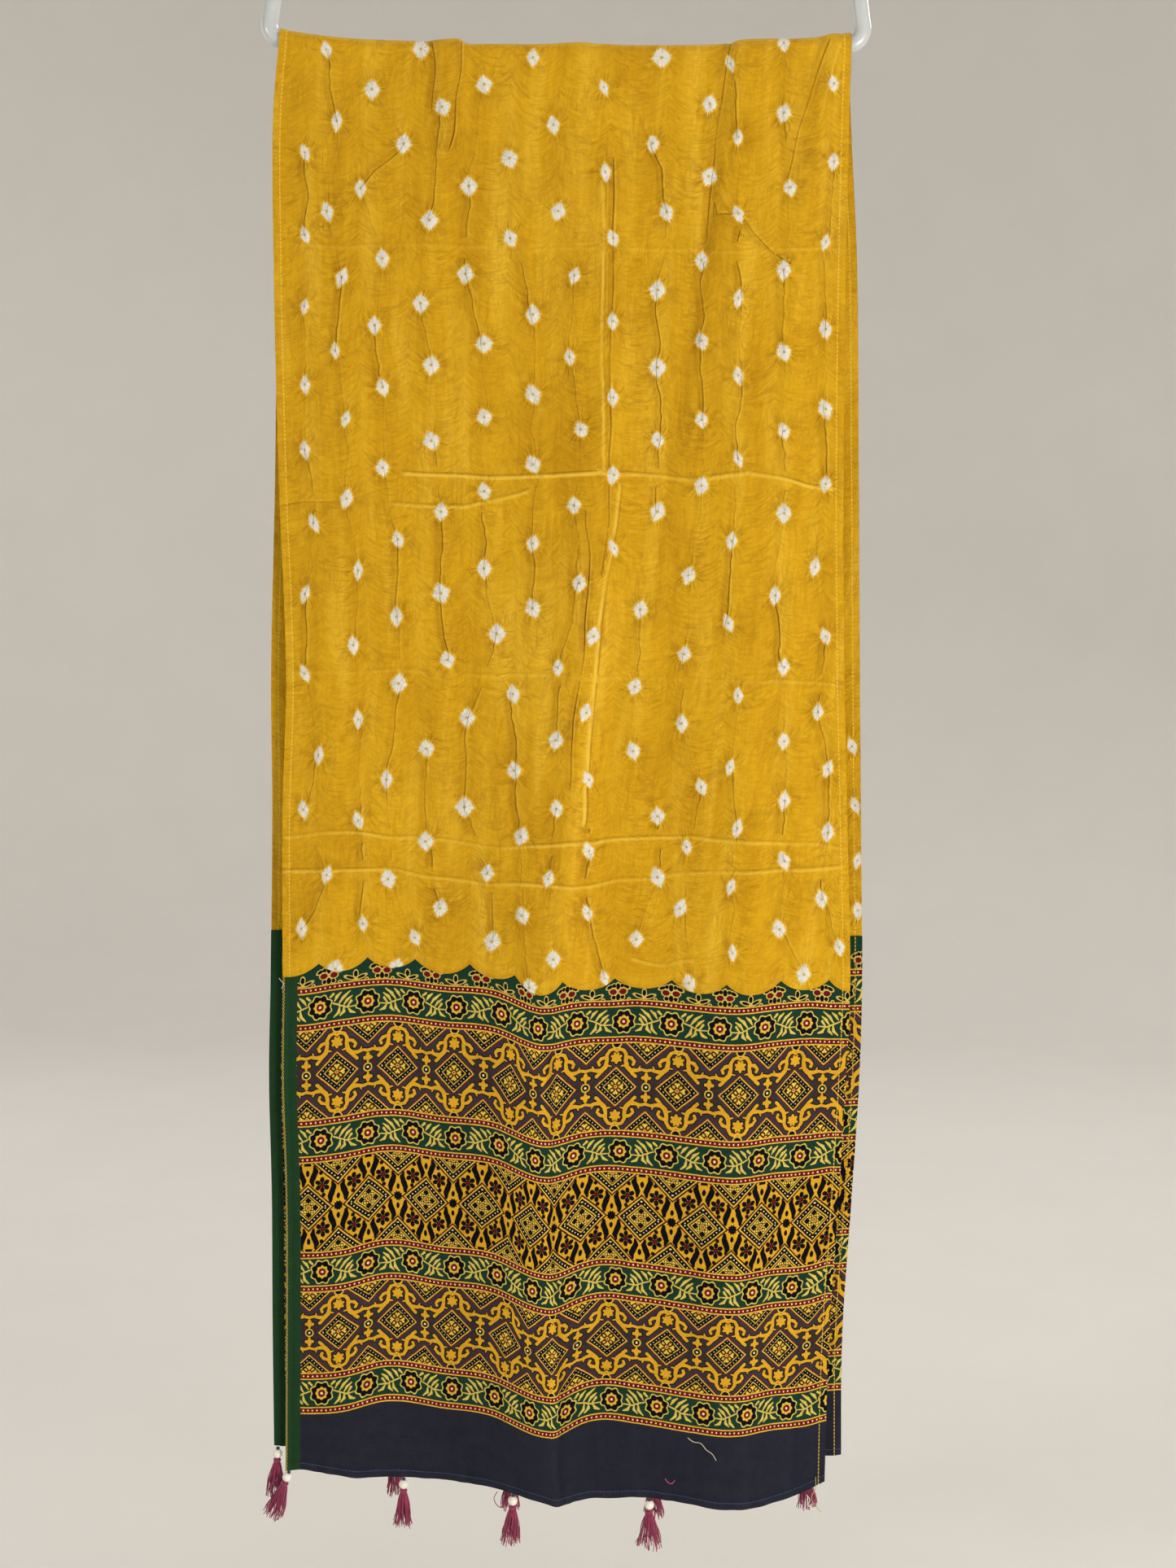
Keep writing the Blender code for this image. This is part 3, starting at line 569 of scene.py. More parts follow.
def crease_relief(x, y, creases):
    """Height of all storage creases and pleats at photo places, in millimetres."""
    total = np.zeros_like(x)
    marks = np.zeros(x.shape + (2,))
    nearest = np.full_like(x, 1e6)
    for index, crease in enumerate(creases):
        wander = 2.5 * value_noise(x / 40, y / 40, 40 + index)
        best = np.full_like(x, 1e6)
        side = np.zeros_like(x)
        for start, end in zip(crease.points, crease.points[1:]):
            beside, along, length = nearest_on_line(x, y, start, end)
            past = np.maximum(np.maximum(-along, along - length), 0)
            off = np.hypot(beside, past)
            closer = off < best
            best = np.where(closer, off, best)
            side = np.where(closer, beside, side)
        off = np.abs(side + wander) + np.maximum(best - np.abs(side), 0) * 1.5
        uneven = 0.75 + 0.45 * value_noise(x / 55, y / 55, 70 + index)
        shape = crease.height * np.exp(-off / crease.sharp)
        step = crease.step * np.tanh((side + wander) / crease.sharp) * np.exp(-off / (4 * crease.sharp))
        total += (shape + step) * uneven
        # Marks: the side of the nearest crease and how strongly painted shade (valleys) or painted highlight
        # (ridges) shows beside it
        closer = best + np.abs(wander) < nearest
        nearest = np.where(closer, best + np.abs(wander), nearest)
        fade = np.clip(1.5 - off / 8, 0, 1) * np.clip(1 - (best - np.abs(side)) / 12, 0, 1)
        marks[..., 0] = np.where(closer, side + wander, marks[..., 0])
        marks[..., 1] = np.where(closer, -np.clip(crease.height, -1, 1) * uneven * fade, marks[..., 1])
    return total, marks


def dot_relief(x, y, columns):
    """Nubs and puckers of the dyed dots, the offset from the nearest dot and its crease lines."""
    total = np.zeros_like(x)
    best = np.full_like(x, 1e6)
    offset = np.full(x.shape + (3,), 60.0)
    lines = np.zeros(x.shape + (3,))
    nearest_line = np.full_like(x, 1e6)
    rng = np.random.default_rng(3)
    for number, column in enumerate(columns):
        for index, (dot_x, dot_y) in enumerate(column):
            turn, grow, thin, phase = rng.random(4)
            off_x, off_y = x - dot_x, y - dot_y
            far = np.hypot(off_x, off_y)
            angle = np.arctan2(off_y, off_x)
            folds = np.cos((5 + index % 3) * angle + 6.28 * phase + 0.05 * far)
            folds += 0.7 * np.cos((9 - index % 2) * angle + 6.28 * turn)
            nub = 1.9 * np.exp(-(far / 6.0) ** 2)
            ring = -0.35 * np.exp(-((far - 14) / 7.0) ** 2)
            pucker = 0.26 * folds * np.exp(-((far - 16) / 12.0) ** 2)
            total += np.where(far < 60, nub + ring + pucker, 0)
            closer = (far < best) & (far < 34)
            best = np.where(closer, far, best)
            lean = (turn - 0.5) * 0.8
            size = 0.92 + 0.22 * grow
            width = size * DOT_WIDTHS[number] * (0.85 + 0.3 * thin)
            turned_x = (off_x * math.cos(lean) + off_y * math.sin(lean)) / width
            turned_y = (off_y * math.cos(lean) - off_x * math.sin(lean)) / size
            for part, value in enumerate((turned_x, turned_y, far)):
                offset[..., part] = np.where(closer, value, offset[..., part])
        for start, end in zip(column, column[1:]):
            vigour = 0.22 + 1.05 * rng.random() ** 1.8
            beside, along, length = nearest_on_line(x, y, start, end)
            beside = beside + 4 * value_noise(x / 35, y / 35, 90) + 1.2 * value_noise(x / 9, y / 9, 91)
            inside = (along > 0) & (along < length)
            fade = np.exp(-along / 22) + 0.9 * np.exp(-(length - along) / 34) + 0.25 * vigour
            shape = 0.55 * (beside / 4.5) * np.exp(-((beside / 5.0) ** 2))
            shape -= 0.5 * np.exp(-((beside / 3.0) ** 2))
            total += np.where(inside, shape * fade * vigour, 0)
            # The nearest crease line between dots and how strongly its painted shade and painted highlight show
            closer = inside & (np.abs(beside) < nearest_line)
            nearest_line = np.where(closer, np.abs(beside), nearest_line)
            lines[..., 0] = np.where(closer, beside, lines[..., 0])
            strength = np.clip(fade * vigour * 1.3, 0, 1) * np.clip(1.5 - np.abs(beside) / 8, 0, 1)
            lines[..., 1] = np.where(closer, strength, lines[..., 1])
    return total, offset, lines


def blurred(values, reach):
    """Values on a grid, averaged over some steps each way."""
    for axis in (0, 1):
        padded = np.concatenate([np.repeat(values.take([0], axis), reach, axis), values,
                                 np.repeat(values.take([-1], axis), reach, axis)], axis)
        summed = np.cumsum(padded, axis)
        summed = np.concatenate([np.zeros_like(summed.take([0], axis)), summed], axis)
        count = values.shape[axis]
        width = 2 * reach + 1
        high = summed.take(np.arange(width, width + count), axis)
        low = summed.take(np.arange(count), axis)
        values = (high - low) / width
    return values


# Meshes

def mesh_from_grid(name, grid, skip=None):
    """Sheet mesh from a grid of points, smooth shaded."""
    rows, columns = grid.shape[:2]
    index = np.arange(rows * columns).reshape(rows, columns)
    faces = np.stack([index[:-1, :-1], index[1:, :-1], index[1:, 1:], index[:-1, 1:]], axis=-1)
    mesh = bpy.data.meshes.new(name)
    mesh.from_pydata(grid.reshape(-1, 3).tolist(), [], faces.reshape(-1, 4).tolist())
    mesh.shade_smooth()
    return mesh


def add_piece(name, mesh, material, body="root"):
    """Put a mesh in the scene as a piece that rides on the body."""
    made = bpy.data.objects.new(name, mesh)
    bpy.context.scene.collection.objects.link(made)
    if material is not None:
        mesh.materials.append(material)
    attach(made, body)
    return made


def store_vectors(mesh, name, values):
    """Keep one vector for each point of a mesh, for its material."""
    layer = mesh.attributes.new(name, "FLOAT_VECTOR", "POINT")
    layer.data.foreach_set("vector", np.ascontiguousarray(values, dtype=np.float32).ravel())


def arc_lengths(grid, axis):
    """Length along a grid's rows or columns, in metres."""
    steps = np.linalg.norm(np.diff(grid, axis=axis), axis=-1)
    pad = [(0, 0), (0, 0)]
    pad[axis] = (1, 0)
    return np.cumsum(np.pad(steps, pad), axis=axis)


def field_grid():
    """Plain points of the yellow field, front edge first, then over the bar and down the back half."""
    shares = column_shares()
    front_end = field_end_drop("front", shares)
    back_end = field_end_drop("back", shares)
    parts = []
    for row in range(FIELD_ROWS_FRONT, 0, -1):
        parts.append(hanging_points("front", shares, front_end * row / FIELD_ROWS_FRONT))
    for row in range(FIELD_ROWS_OVER + 1):
        parts.append(over_bar_points(shares, row / FIELD_ROWS_OVER))
    for row in range(1, FIELD_ROWS_BACK + 1):
        parts.append(hanging_points("back", shares, back_end * row / FIELD_ROWS_BACK))
    return np.array(parts)


def chart_points(grid):
    """The points as the photo shows them, with the back half charted as a mirrored front."""
    charted = grid.copy()
    behind = grid[..., 1] > 0
    charted[..., 0] = np.where(behind, -grid[..., 0], grid[..., 0])
    charted[..., 1] = -np.abs(grid[..., 1])
    return charted


def field_faces(rows, columns, first_coarse):
    """Points kept from the fine grid and the faces on them, with half the columns far behind."""
    index = np.full((rows, columns), -1)
    index[:first_coarse] = np.arange(first_coarse * columns).reshape(first_coarse, columns)
    coarse = np.arange(0, columns, 2)
    count = (rows - first_coarse) * len(coarse)
    index[first_coarse:, coarse] = first_coarse * columns + np.arange(count).reshape(-1, len(coarse))
    fine = index[:first_coarse]
    faces = np.stack([fine[:-1, :-1], fine[:-1, 1:], fine[1:, 1:], fine[1:, :-1]], -1).reshape(-1, 4).tolist()
    for column in range(0, columns - 1, 2):
        low = [int(index[first_coarse - 1, column + part]) for part in range(3)]
        high = [int(index[first_coarse, column]), int(index[first_coarse, column + 2])]
        faces += [(low[0], low[1], high[0]), (low[1], high[1], high[0]), (low[1], low[2], high[1])]
    wide = index[first_coarse:, coarse]
    faces += np.stack([wide[:-1, :-1], wide[:-1, 1:], wide[1:, 1:], wide[1:, :-1]], -1).reshape(-1, 4).tolist()
    return index >= 0, faces


def build_field(material):
    """The yellow field with its dots, puckers and creases in the mesh."""
    grid = field_grid()
    normals = outward_normals(grid)
    x, y, scale = photo_places(chart_points(grid))
    relief, offset, lines = dot_relief(x, y, DOT_COLUMNS)
    seen_x, seen_y, seen_scale = photo_places(grid)
    peek_relief, peek_offset, peek_lines = dot_relief(seen_x, seen_y, [PEEKING_DOTS])
    peeking = (grid[..., 1] > 0) & (peek_offset[..., 2] < offset[..., 2])
    relief = np.where(peeking, peek_relief, relief)
    offset = np.where(peeking[..., None], peek_offset, offset)
    creased, marks = crease_relief(x, y, CREASES)
    soft_folds = crease_relief(x, y, SOFT_FOLDS)[0]
    # Storage creases take the place of the dot lines near them in the marks that set painted shade and painted
    # highlight
    marked = (np.abs(marks[..., 1]) > 0.02) & (np.abs(marks[..., 0]) < np.abs(lines[..., 0]) + 9)
    lines[..., :2] = np.where(marked[..., None], marks, lines[..., :2])
    across = arc_lengths(grid, 1) * 1000
    along = arc_lengths(grid, 0) * 1000
    width = across[:, -1:]
    height = relief + creased + soft_folds + crumple(across, along)
    below_bar = BAR_Z - grid[..., 2]
    settle = np.clip((below_bar - 0.004) / 0.035, 0, 1)
    height = height * (0.12 + 0.88 * settle) + creased * 0.45 * (1 - settle)
    to_side = np.minimum(across, width - across)
    hem = np.clip((6.2 - to_side) / 1.2, 0, 1) * 0.35
    groove = -0.25 * np.exp(-((to_side - 5.4) / 0.9) ** 2)
    pucker = 0.35 * np.cos(along / 2.6 + 2 * value_noise(along / 17, across / 9, 21)) * np.exp(-to_side / 6)
    height = height * np.clip(0.35 + to_side / 14, 0, 1) + hem + (groove + pucker) * settle
    end = np.minimum(along, along[-1:] - along)
    tucked = -1.1 * np.exp(-(end / 3.2) ** 2)
    calm = np.clip(end / 9, 0.25, 1)
    height = height * calm + tucked
    moved = grid + normals * (height / 1000)[..., None]
    # Painted light and shade: the relief's high spots are lightened and its hollows darkened in the material,
    # with a painted highlight along the top of the cloth over the bar and a painted shade line just under it on
    # the front
    lines[..., 2] = height - blurred(height, 3)
    crest = FIELD_ROWS_FRONT
    lines[crest + 1:crest + 3, :, 2] -= 0.45
    lines[crest + 3:crest + 8, :, 2] += 0.6
    first_coarse = FIELD_ROWS_FRONT + FIELD_ROWS_OVER + 3
    kept, faces = field_faces(*grid.shape[:2], first_coarse)
    mesh = bpy.data.meshes.new("field_cloth")
    mesh.from_pydata(moved[kept].tolist(), [], faces)
    mesh.shade_smooth()
    offset = offset * scale[..., None]
    lines[..., :1] *= scale[..., None]
    store_vectors(mesh, "dot_offset", offset[kept])
    store_vectors(mesh, "crease_lines", lines[kept])
    store_vectors(mesh, "cloth_mm", np.stack([across, along, to_side], axis=-1)[kept])
    piece = add_piece("field_cloth", mesh, material)
    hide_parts("bandhani_field")
    return piece


def panel_rows(side, shares):
    """Depths below the first dotted line for each row, the band that each row of faces is in."""
    waves = FRONT_WAVES if side == "front" else BACK_WAVES
    left = smooth_value(EDGES, side + "_left", HEM_DROP)
    right = smooth_value(EDGES, side + "_right", HEM_DROP)
    x = left + (right - left) * shares
    stretch = (smooth_value(waves, "hem", x) - smooth_value(waves, "print", x)) / (HEM_DROP - PRINT_DROP)
    hem_depth = (PRINT_DROP - SEAM_DROP) + (HEM_DROP - PRINT_DROP) * (1 + stretch)
    hem_depth = hem_depth + HEM_WAVER * value_noise(x / 0.017, x * 0 + 0.5, 77)
    edges = [("strip", -PANEL_TOP_RISE, -BEAD_LINE_HALF)]
    for index, line in enumerate(BEAD_LINES):
        edges.append(("bead", line - BEAD_LINE_HALF, line + BEAD_LINE_HALF))
        if index < len(BAND_KINDS):
            edges.append((BAND_KINDS[index], line + BEAD_LINE_HALF, BEAD_LINES[index + 1] - BEAD_LINE_HALF))
    edges.append(("navy", BEAD_LINES[-1] + BEAD_LINE_HALF, None))
    depths = [np.full_like(shares, -PANEL_TOP_RISE)]
    bands = []
    for kind, top, bottom in edges:
        low = hem_depth if bottom is None else np.full_like(shares, bottom)
        steps = max(2, round(float((low - top).mean()) / PANEL_ROW_STEP))
        middle = float(top if bottom is None else (top + bottom) / 2)
        stretch_print = SLATE_HEIGHT / (bottom - top) if kind == "slate" else 1.0
        for step in range(1, steps + 1):
            depths.append(top + (low - top) * step / steps)
            bands.append((kind, middle, stretch_print))
    depths = np.array(depths)
    below = depths - (PRINT_DROP - SEAM_DROP)
    drops = np.where(below < 0, SEAM_DROP + depths, PRINT_DROP + below / (1 + stretch))
    return drops, depths, bands


# The frayed edge shows on the front half alone, so the back half's marks start beside it
BACK_EDGE_SHIFT = 2.2


def print_places(side, shares):
    """Places along the print in millimetres for each column, measured from the first flower."""
    left = smooth_value(EDGES, side + "_left", SEAM_DROP)
    right = smooth_value(EDGES, side + "_right", SEAM_DROP)
    x = left + (right - left) * shares
    known_x = np.array(FLOWER_CENTRES)
    known_u = np.arange(len(known_x)) * FLOWER_PITCH
    if side == "back":
        known_x = -known_x[::-1]
    known_x = np.concatenate([[known_x[0] - 0.0728], known_x, [known_x[-1] + 0.0690]])
    known_u = np.concatenate([[-2 * FLOWER_PITCH], known_u, [known_u[-1] + 2 * FLOWER_PITCH]])
    Place = namedtuple("Place", "x u")
    return smooth_value([Place(*pair) for pair in zip(known_x, known_u)], "u", x)


def build_panel(side, materials):
    """One printed end, with its bands on their own faces."""
    shares = column_shares()
    raised = 0.0 if side == "front" else BACK_RAISE
    drops, depths, bands = panel_rows(side, shares)
    outer = hanging_points(side, shares[None, :] * np.ones_like(drops), drops - raised)
    normals = outward_normals(outer, rows_go_down=side)
    inset = CLOTH_THICKNESS + TUCK_GAP
    across = arc_lengths(outer, 1) * 1000
    width = across[:, -1:]
    down = depths * 1000
    to_side = np.minimum(across, width - across)
    seed = 200 if side == "front" else 300
    x, y, scale = photo_places(chart_points(outer))
    relief = 0.8 * crumple(across, down, seed) + crease_relief(x, y, PRINT_CREASES)[0]
    relief = relief * np.clip(0.3 + to_side / 14, 0, 1)
    to_hem = depths[-1:] * 1000 - down
    covered = np.clip((down + 8) / 10, 0.15, 1)
    hem = 0.4 * np.clip((5.4 - to_hem) / 1.0, 0, 1) + 0.35 * np.clip((5.4 - to_side) / 1.2, 0, 1)
    groove = -0.25 * np.exp(-((to_hem - 5.2) / 0.9) ** 2) - 0.2 * np.exp(-((to_side - 5.4) / 0.9) ** 2)
    wave = 0.35 * np.cos(across / 3.1 + 3 * value_noise(across / 19, down / 19, seed + 30)) * np.exp(-to_hem / 7)
    height = relief * covered * np.clip(0.4 + to_hem / 20, 0, 1) + hem + groove + wave
    grid = outer - normals * (inset - height / 1000)[..., None]
    name = f"print_{side}_cloth"
    mesh = mesh_from_grid(name, grid)
    kinds = list(materials)
    for kind in kinds:
        mesh.materials.append(materials[kind])
    columns = len(shares)
    u = print_places(side, shares)
    slots = np.repeat([kinds.index(kind) for kind, middle, stretch in bands], columns - 1)
    mesh.polygons.foreach_set("material_index", slots.astype(np.int32))
    layer = mesh.uv_layers.new(name="band")
    top = np.array([(down[row] - middle * 1000) * stretch
                    for row, (kind, middle, stretch) in enumerate(bands)])
    low = np.array([(down[row + 1] - middle * 1000) * stretch
                    for row, (kind, middle, stretch) in enumerate(bands)])
    corners = np.empty((len(bands), columns - 1, 4, 2), dtype=np.float32)
    corners[..., 0, 0] = u[:-1]
    corners[..., 1, 0] = u[:-1]
    corners[..., 2, 0] = u[1:]
    corners[..., 3, 0] = u[1:]
    corners[..., 0, 1] = top[:, :-1]
    corners[..., 1, 1] = low[:, :-1]
    corners[..., 2, 1] = low[:, 1:]
    corners[..., 3, 1] = top[:, 1:]
    layer.data.foreach_set("uv", corners.ravel())
    # How far each point stands out of the relief around it, which sets the painted light and shade of the print
    relief_shade = height - blurred(height, 3)
    cloth = np.stack([across, down, relief_shade], axis=-1)
    store_vectors(mesh, "cloth_mm", cloth.reshape(-1, 3))
    plain_edge = 0.0 if side == "front" else BACK_EDGE_SHIFT
    edge = np.stack([across + plain_edge, width - across, to_hem], axis=-1)
    store_vectors(mesh, "edge_mm", edge.reshape(-1, 3))
    piece = add_piece(name, mesh, None)
    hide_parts(f"print_panel_{side}")
    flat_length = round(float((depths[-1] - depths[0]).mean()), 3)
    return piece


# Hanger

def fillet(before, corner, after, bend, steps):
    """Points of an arc that rounds one corner of a path in the XZ plane."""
    arm_in = (before - corner).normalized()
    arm_out = (after - corner).normalized()
    half_angle = arm_in.angle(arm_out) / 2
    reach = bend / math.tan(half_angle)
    centre = corner + (arm_in + arm_out).normalized() * (bend / math.sin(half_angle))
    start = corner + arm_in * reach - centre
    end = corner + arm_out * reach - centre
    turn = start.angle(end)
    points = []
    for step in range(steps + 1):
        t = step / steps
        mixed = start * math.sin(turn * (1 - t)) + end * math.sin(turn * t)
        points.append(centre + mixed / math.sin(turn))
    return points


def frame_path():
    """Closed centre line of the hanger's bar, corners, arms and shoulders."""
    corner_x = HANGER_WIDTH / 2 - TUBE_RADIUS + CORNER_OUT
    right_corner = Vector((corner_x, 0, 0))
    left_corner = Vector((-corner_x, 0, 0))
    right_shoulder = Vector((SHOULDER_END_X, 0, SHOULDER_END_RISE))
    left_shoulder = Vector((-SHOULDER_END_X, 0, SHOULDER_END_RISE))
    apex = Vector((0, 0, APEX_RISE))
    points = []
    for step in range(1, BAR_STEPS):
        x = corner_centre_x() * (2 * step / BAR_STEPS - 1)
        points.append(Vector((x, 0, -float(bar_sag(x)))))
    points += fillet(left_corner, right_corner, right_shoulder, CORNER_BEND, BEND_STEPS)
    points += fillet(right_corner, right_shoulder, apex, SHOULDER_BEND, BEND_STEPS)
    points += fillet(right_shoulder, apex, left_shoulder, APEX_BEND, BEND_STEPS)
    points += fillet(apex, left_shoulder, left_corner, SHOULDER_BEND, BEND_STEPS)
    points += fillet(left_shoulder, left_corner, right_corner, CORNER_BEND, BEND_STEPS)
    return points


def hook_path():
    """Centre line of the stem and hook, as heights over the bar."""
    ring = HOOK_INNER_RADIUS + HOOK_TUBE_RADIUS
    centre = Vector((0, 0, -BAR_Z - HOOK_INNER_RADIUS))
    join = centre + ring * Vector((math.cos(HOOK_FROM), 0, math.sin(HOOK_FROM)))
    top_of_stem = Vector((0, 0, STEM_STRAIGHT_RISE))
    pull = (join - top_of_stem).length / 2.5
    handle_low = top_of_stem + Vector((0, 0, pull))
    handle_high = join - pull * Vector((-math.sin(HOOK_FROM), 0, math.cos(HOOK_FROM)))
    points = [Vector((0, 0, STEM_FOOT_RISE))]
    for step in range(STEM_STEPS):
        t = step / STEM_STEPS
        points.append((1 - t) ** 3 * top_of_stem + 3 * t * (1 - t) ** 2 * handle_low
                      + 3 * t * t * (1 - t) * handle_high + t ** 3 * join)
    for step in range(HOOK_STEPS + 1):
        angle = HOOK_FROM + (HOOK_TO - HOOK_FROM) * step / HOOK_STEPS
        points.append(centre + ring * Vector((math.cos(angle), 0, math.sin(angle))))
    return points


def tube_rings(bm, points, radii, sides, closed, across=Vector((0, 1, 0))):
    """Rings of a round tube along a path, joined by faces."""
    count = len(points)
    rings = []
    for index, point in enumerate(points):
        before = points[index - 1] if closed else points[max(index - 1, 0)]
        after = points[(index + 1) % count] if closed else points[min(index + 1, count - 1)]
        along = (after - before).normalized()
        side = along.cross(across).normalized()
        third = side.cross(along).normalized()
        ring = []
        for corner in range(sides):
            angle = math.tau * corner / sides
            out = third * math.cos(angle) + side * math.sin(angle)
            ring.append(bm.verts.new(point + radii[index] * out))
        rings.append(ring)
    spans = count if closed else count - 1
    for index in range(spans):
        ring, following = rings[index], rings[(index + 1) % count]
        for corner in range(sides):
            after = (corner + 1) % sides
            bm.faces.new((ring[corner], ring[after], following[after], following[corner]))
    return rings


def mesh_of(name, bm):
    """Finish a bmesh as smooth mesh data with outward faces."""
    bmesh.ops.recalc_face_normals(bm, faces=bm.faces)
    mesh = bpy.data.meshes.new(name)
    bm.to_mesh(mesh)
    bm.free()
    mesh.shade_smooth()
    return mesh


def build_hanger(material):
    """The smooth moulded tube with its hook."""
    bm = bmesh.new()
    path = frame_path()
    tube_rings(bm, path, [TUBE_RADIUS] * len(path), TUBE_SIDES, closed=True)
    hook = hook_path()
    radii = [HOOK_TUBE_RADIUS] * len(hook)
    radii[0] = HOOK_TUBE_RADIUS * 1.35
    radii[1] = HOOK_TUBE_RADIUS * 1.04
    tip_along = (hook[-1] - hook[-2]).normalized()
    for grow, shrink in ((0.45, 0.90), (0.78, 0.63), (0.96, 0.28)):
        hook.append(hook[HOOK_STEPS + STEM_STEPS + 1] + tip_along * HOOK_TUBE_RADIUS * grow)
        radii.append(HOOK_TUBE_RADIUS * shrink)
    rings = tube_rings(bm, hook, radii, TUBE_SIDES, closed=False)
    bm.faces.new(rings[-1])
    bm.faces.new(rings[0])
    mesh = mesh_of("hanger_tube", bm)
    piece = add_piece("hanger_tube", mesh, material)
    piece.location.z = BAR_Z
    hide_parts("hanger")
    return piece


# Tassels

def bead_half_height():
    """Half of a bead's height, a ball cut by its bore."""
    return math.sqrt(BEAD_RADIUS ** 2 - BEAD_BORE_RADIUS ** 2)


def turned(bm, profile, sides, closed=False):
    """Turned shape from a list of (radius, height) points round the Z axis."""
    rings = []
    for radius, height in profile:
        rings.append([bm.verts.new((radius * math.cos(math.tau * corner / sides),
                                    radius * math.sin(math.tau * corner / sides), height))
                      for corner in range(sides)])
    pairs = list(zip(rings, rings[1:]))
    if closed:
        pairs.append((rings[-1], rings[0]))
    for ring, following in pairs:
        for corner in range(sides):
            after = (corner + 1) % sides
            bm.faces.new((ring[corner], ring[after], following[after], following[corner]))
    return rings


def bead_mesh(name):
    """Smooth turned bead with its bore, centred on its own origin."""
    half = bead_half_height()
    profile = [(BEAD_BORE_RADIUS, half * 0.96)]
    top = math.asin(half / BEAD_RADIUS)
    steps = 14
    for step in range(steps + 1):
        angle = top * (1 - 2 * step / steps)
        profile.append((BEAD_RADIUS * math.cos(angle), BEAD_RADIUS * math.sin(angle)))
    profile.append((BEAD_BORE_RADIUS, -half * 0.96))
    bm = bmesh.new()
    turned(bm, profile, 28, closed=True)
    return mesh_of(name, bm)


def skirt_mesh(name, flare, rng):
    """Knot, thread, bound head and a skirt of fine strands, hanging from the origin."""
    bm = bmesh.new()
    bead_drop = KNOT_HEIGHT + LAYER_GAP + bead_half_height()
    neck_end = -(bead_drop + bead_half_height() + LAYER_GAP)
    head_end = neck_end - HEAD_HEIGHT
    profile = [(0.0005, 0.0007), (0.0012, 0.0003), (0.0015, -0.0003), (0.0012, -0.0008),
               (THREAD_RADIUS, -KNOT_HEIGHT - 0.0002), (THREAD_RADIUS, neck_end)]
    for step in range(9):
        share = step / 8
        bulge = HEAD_RADIUS * (0.70 + 0.32 * math.sin(math.pi * min(share * 1.15 + 0.12, 1.0)))
        wrap = 0.00016 * math.cos(step * math.pi)
        profile.append((bulge + wrap, neck_end - HEAD_HEIGHT * share))
    profile.append((HEAD_RADIUS * 0.4, head_end - 0.0004))
    rings = turned(bm, profile, 16)
    bm.faces.new(rings[0])
    bm.faces.new(rings[-1])
    for strand in range(STRANDS):
        angle = math.tau * strand * 0.381966
        start = HEAD_RADIUS * 0.85 * math.sqrt((strand + 0.5) / STRANDS)
        spread = SKIRT_SPREAD * flare * (0.55 + 0.6 * math.sqrt((strand + 0.5) / STRANDS))
        length = SKIRT_LENGTH * (0.80 + 0.19 * rng.random())
        swing = rng.random(4) - 0.5
        points = []
        for step in range(9):
            t = step / 8
            reach = start + (spread + start * 0.2) * (t ** 0.8)
            bend = 0.0012 * math.sin(2.2 * math.pi * t + 6 * swing[0]) * t
            direction = angle + swing[1] * 0.9 * t
            points.append(Vector((reach * math.cos(direction) + bend * swing[2] * 2,
                                  reach * math.sin(direction) + bend * swing[3] * 2,
                                  head_end + 0.0006 - length * t)))
        radii = [STRAND_RADIUS * (1.0 - 0.35 * step / 8) for step in range(9)]
        strand_rings = tube_rings(bm, points, radii, 5, closed=False, across=Vector((0.2, 1, 0)))
        bm.faces.new(strand_rings[-1])
    return mesh_of(name, bm), bead_drop


def hem_points(side, x):
    """Middle of a panel's hem at a place across it."""
    left = smooth_value(EDGES, side + "_left", HEM_DROP)
    right = smooth_value(EDGES, side + "_right", HEM_DROP)
    drop = HEM_DROP if side == "front" else HEM_DROP - BACK_RAISE
    share = (x - left) / (right - left)
    grid = hanging_points(side, share + np.array([[-0.005, 0, 0.005]]),
                          drop + np.array([[-0.002], [0], [0.002]]))
    normal = outward_normals(grid, rows_go_down=side)[1, 1]
    return grid[1, 1] - normal * (CLOTH_THICKNESS + TUCK_GAP)


def build_tassels(side, tassels, thread_material, bead_material):
    """The tassels of one hem, each with its bead on the thread."""
    rng = np.random.default_rng(SKIRT_SEED if side == "front" else SKIRT_SEED + 1)
    made = []
    for row in tassels:
        label = f"{side}_{row.name}"
        mesh, bead_drop = skirt_mesh(f"skirt_{label}", row.flare, rng)
        skirt = add_piece(f"skirt_{label}", mesh, thread_material)
        skirt.location = Vector(hem_points(side, row.x)) - Vector((0, 0, HEM_CLEARANCE))
        skirt.rotation_euler.y = math.radians(row.lean)
        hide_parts(f"tassel_{label}")
        bead = add_piece(f"turned_bead_{label}", bead_mesh(f"turned_bead_{label}"), bead_material)
        lean = Matrix.Rotation(math.radians(row.lean), 3, "Y")
        bead.location = skirt.location + lean @ Vector((0, 0, -bead_drop))
        bead.rotation_euler.y = math.radians(row.lean)
        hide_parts(f"bead_{label}")
        made += [skirt, bead]
    return made


# Loose threads

def front_surface(on):
    """Points of the front's plain surface and where they show in the photograph."""
    shares = np.linspace(0.0, 1.0, 240)[None, :]
    drops = np.linspace(SEAM_DROP - 0.03, HEM_DROP, 330)[:, None]
    outer = hanging_points("front", shares, drops)
    if on == "print":
        outer = outer - outward_normals(outer, rows_go_down="front") * (CLOTH_THICKNESS + TUCK_GAP)
    x, y, scale = photo_places(outer)
    return outer, x, y


